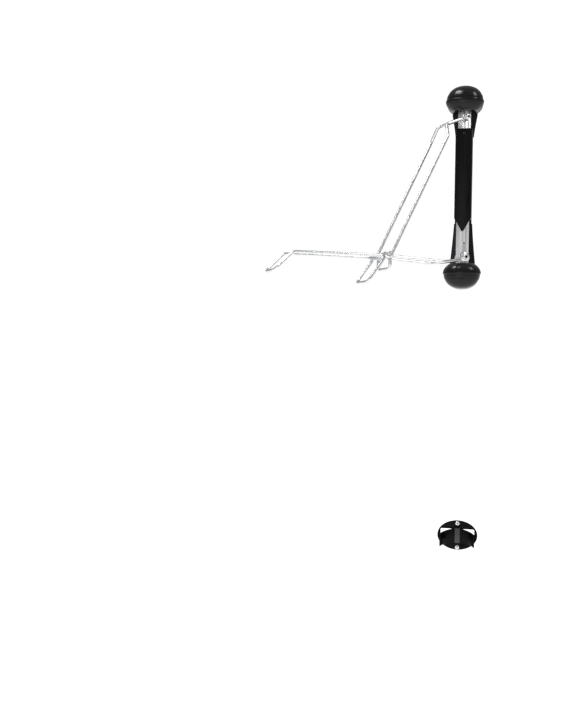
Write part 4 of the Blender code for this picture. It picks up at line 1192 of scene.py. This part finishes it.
def pale_floor():
    bm = bmesh.new()
    bmesh.ops.create_grid(bm, x_segments=2, y_segments=2, size=FLOOR_HALF)
    mesh = bpy.data.meshes.new("floor")
    bm.to_mesh(mesh)
    bm.free()
    mesh.transform(Matrix.Translation((0, 0, FLOOR_Z)))
    floor = new_object("floor", mesh)
    material = bpy.data.materials.new("pale_floor")
    material.use_nodes = True
    shader = material.node_tree.nodes["Principled BSDF"]
    shader.inputs["Base Color"].default_value = (0.9, 0.9, 0.9, 1)
    shader.inputs["Roughness"].default_value = 0.9
    shader.inputs["Emission Color"].default_value = (1, 1, 1, 1)
    shader.inputs["Emission Strength"].default_value = 0.62
    mesh.materials.append(material)


def studio_world():
    """Plain white behind the rack; its surfaces see a softer room that is brighter overhead."""
    world = bpy.data.worlds.new("studio")
    world.use_nodes = True
    tree = world.node_tree
    tree.nodes.clear()
    place = tree.nodes.new("ShaderNodeTexCoord")
    split = tree.nodes.new("ShaderNodeSeparateXYZ")
    ramp = tree.nodes.new("ShaderNodeValToRGB")
    ramp.color_ramp.elements[0].position = 0.48
    ramp.color_ramp.elements[0].color = (0.40, 0.40, 0.41, 1)
    ramp.color_ramp.elements[1].position = 0.95
    ramp.color_ramp.elements[1].color = (0.80, 0.80, 0.81, 1)
    remap = tree.nodes.new("ShaderNodeMapRange")
    remap.inputs["From Min"].default_value = -1
    room = tree.nodes.new("ShaderNodeBackground")
    white = tree.nodes.new("ShaderNodeBackground")
    white.inputs["Color"].default_value = (1, 1, 1, 1)
    white.inputs["Strength"].default_value = 1.05
    room.inputs["Strength"].default_value = 0.80
    ray = tree.nodes.new("ShaderNodeLightPath")
    mix = tree.nodes.new("ShaderNodeMixShader")
    leave = tree.nodes.new("ShaderNodeOutputWorld")
    link = tree.links.new
    link(place.outputs["Generated"], split.inputs["Vector"])
    link(split.outputs["Z"], remap.inputs["Value"])
    link(remap.outputs["Result"], ramp.inputs["Fac"])
    link(ramp.outputs["Color"], room.inputs["Color"])
    link(ray.outputs["Is Camera Ray"], mix.inputs["Fac"])
    link(room.outputs["Background"], mix.inputs[1])
    link(white.outputs["Background"], mix.inputs[2])
    link(mix.outputs["Shader"], leave.inputs["Surface"])
    bpy.context.scene.world = world


def softbox(name, place, aim, width, height, power):
    light = bpy.data.lights.new(name, "AREA")
    light.shape = "RECTANGLE"
    light.size = width
    light.size_y = height
    light.energy = power
    item = bpy.data.objects.new(name, light)
    bpy.context.scene.collection.objects.link(item)
    item.location = place
    item.rotation_euler = (Vector(aim) - Vector(place)).to_track_quat("-Z", "Y").to_euler()


def camera():
    """View from in front of the rack, turned a little and looking slightly down, with a slight roll."""
    heading = math.radians(11.59)
    rack_offset = math.radians(9.72)
    distance = 3.233
    pitch = math.radians(1.11)
    roll = math.radians(0.884)
    eye_height = -0.4916
    forward = Vector((-math.sin(heading), math.cos(heading), 0))
    right = Vector((math.cos(heading), math.sin(heading), 0))
    up = Vector((0, 0, 1))
    place = Vector((0, AXIS_Y, 0)) - forward * distance * math.cos(rack_offset)
    place -= right * distance * math.sin(rack_offset)
    place.z = eye_height
    ahead = forward * math.cos(pitch) - up * math.sin(pitch)
    above = up * math.cos(pitch) + forward * math.sin(pitch)
    tilted_right = right * math.cos(roll) + above * math.sin(roll)
    tilted_up = above * math.cos(roll) - right * math.sin(roll)
    turn = Matrix((tilted_right, tilted_up, -ahead)).transposed()
    data = bpy.data.cameras.new("view")
    data.lens = 50.24
    data.sensor_width = 36
    item = bpy.data.objects.new("view", data)
    bpy.context.scene.collection.objects.link(item)
    item.matrix_world = Matrix.Translation(place) @ turn.to_4x4()
    bpy.context.scene.camera = item


pale_floor()
studio_world()
softbox("overhead_box", (-1.4, -1.3, 2.7), (-0.1, 0, 0.1), 1.5, 0.9, 95)
softbox("side_box", (2.0, -1.1, 2.0), (0, 0, 0), 0.6, 0.9, 24)
softbox("front_fill", (-0.9, -3.4, -0.2), (0, 0, -0.3), 1.8, 1.8, 7)
camera()
bpy.context.scene.view_settings.view_transform = "Standard"
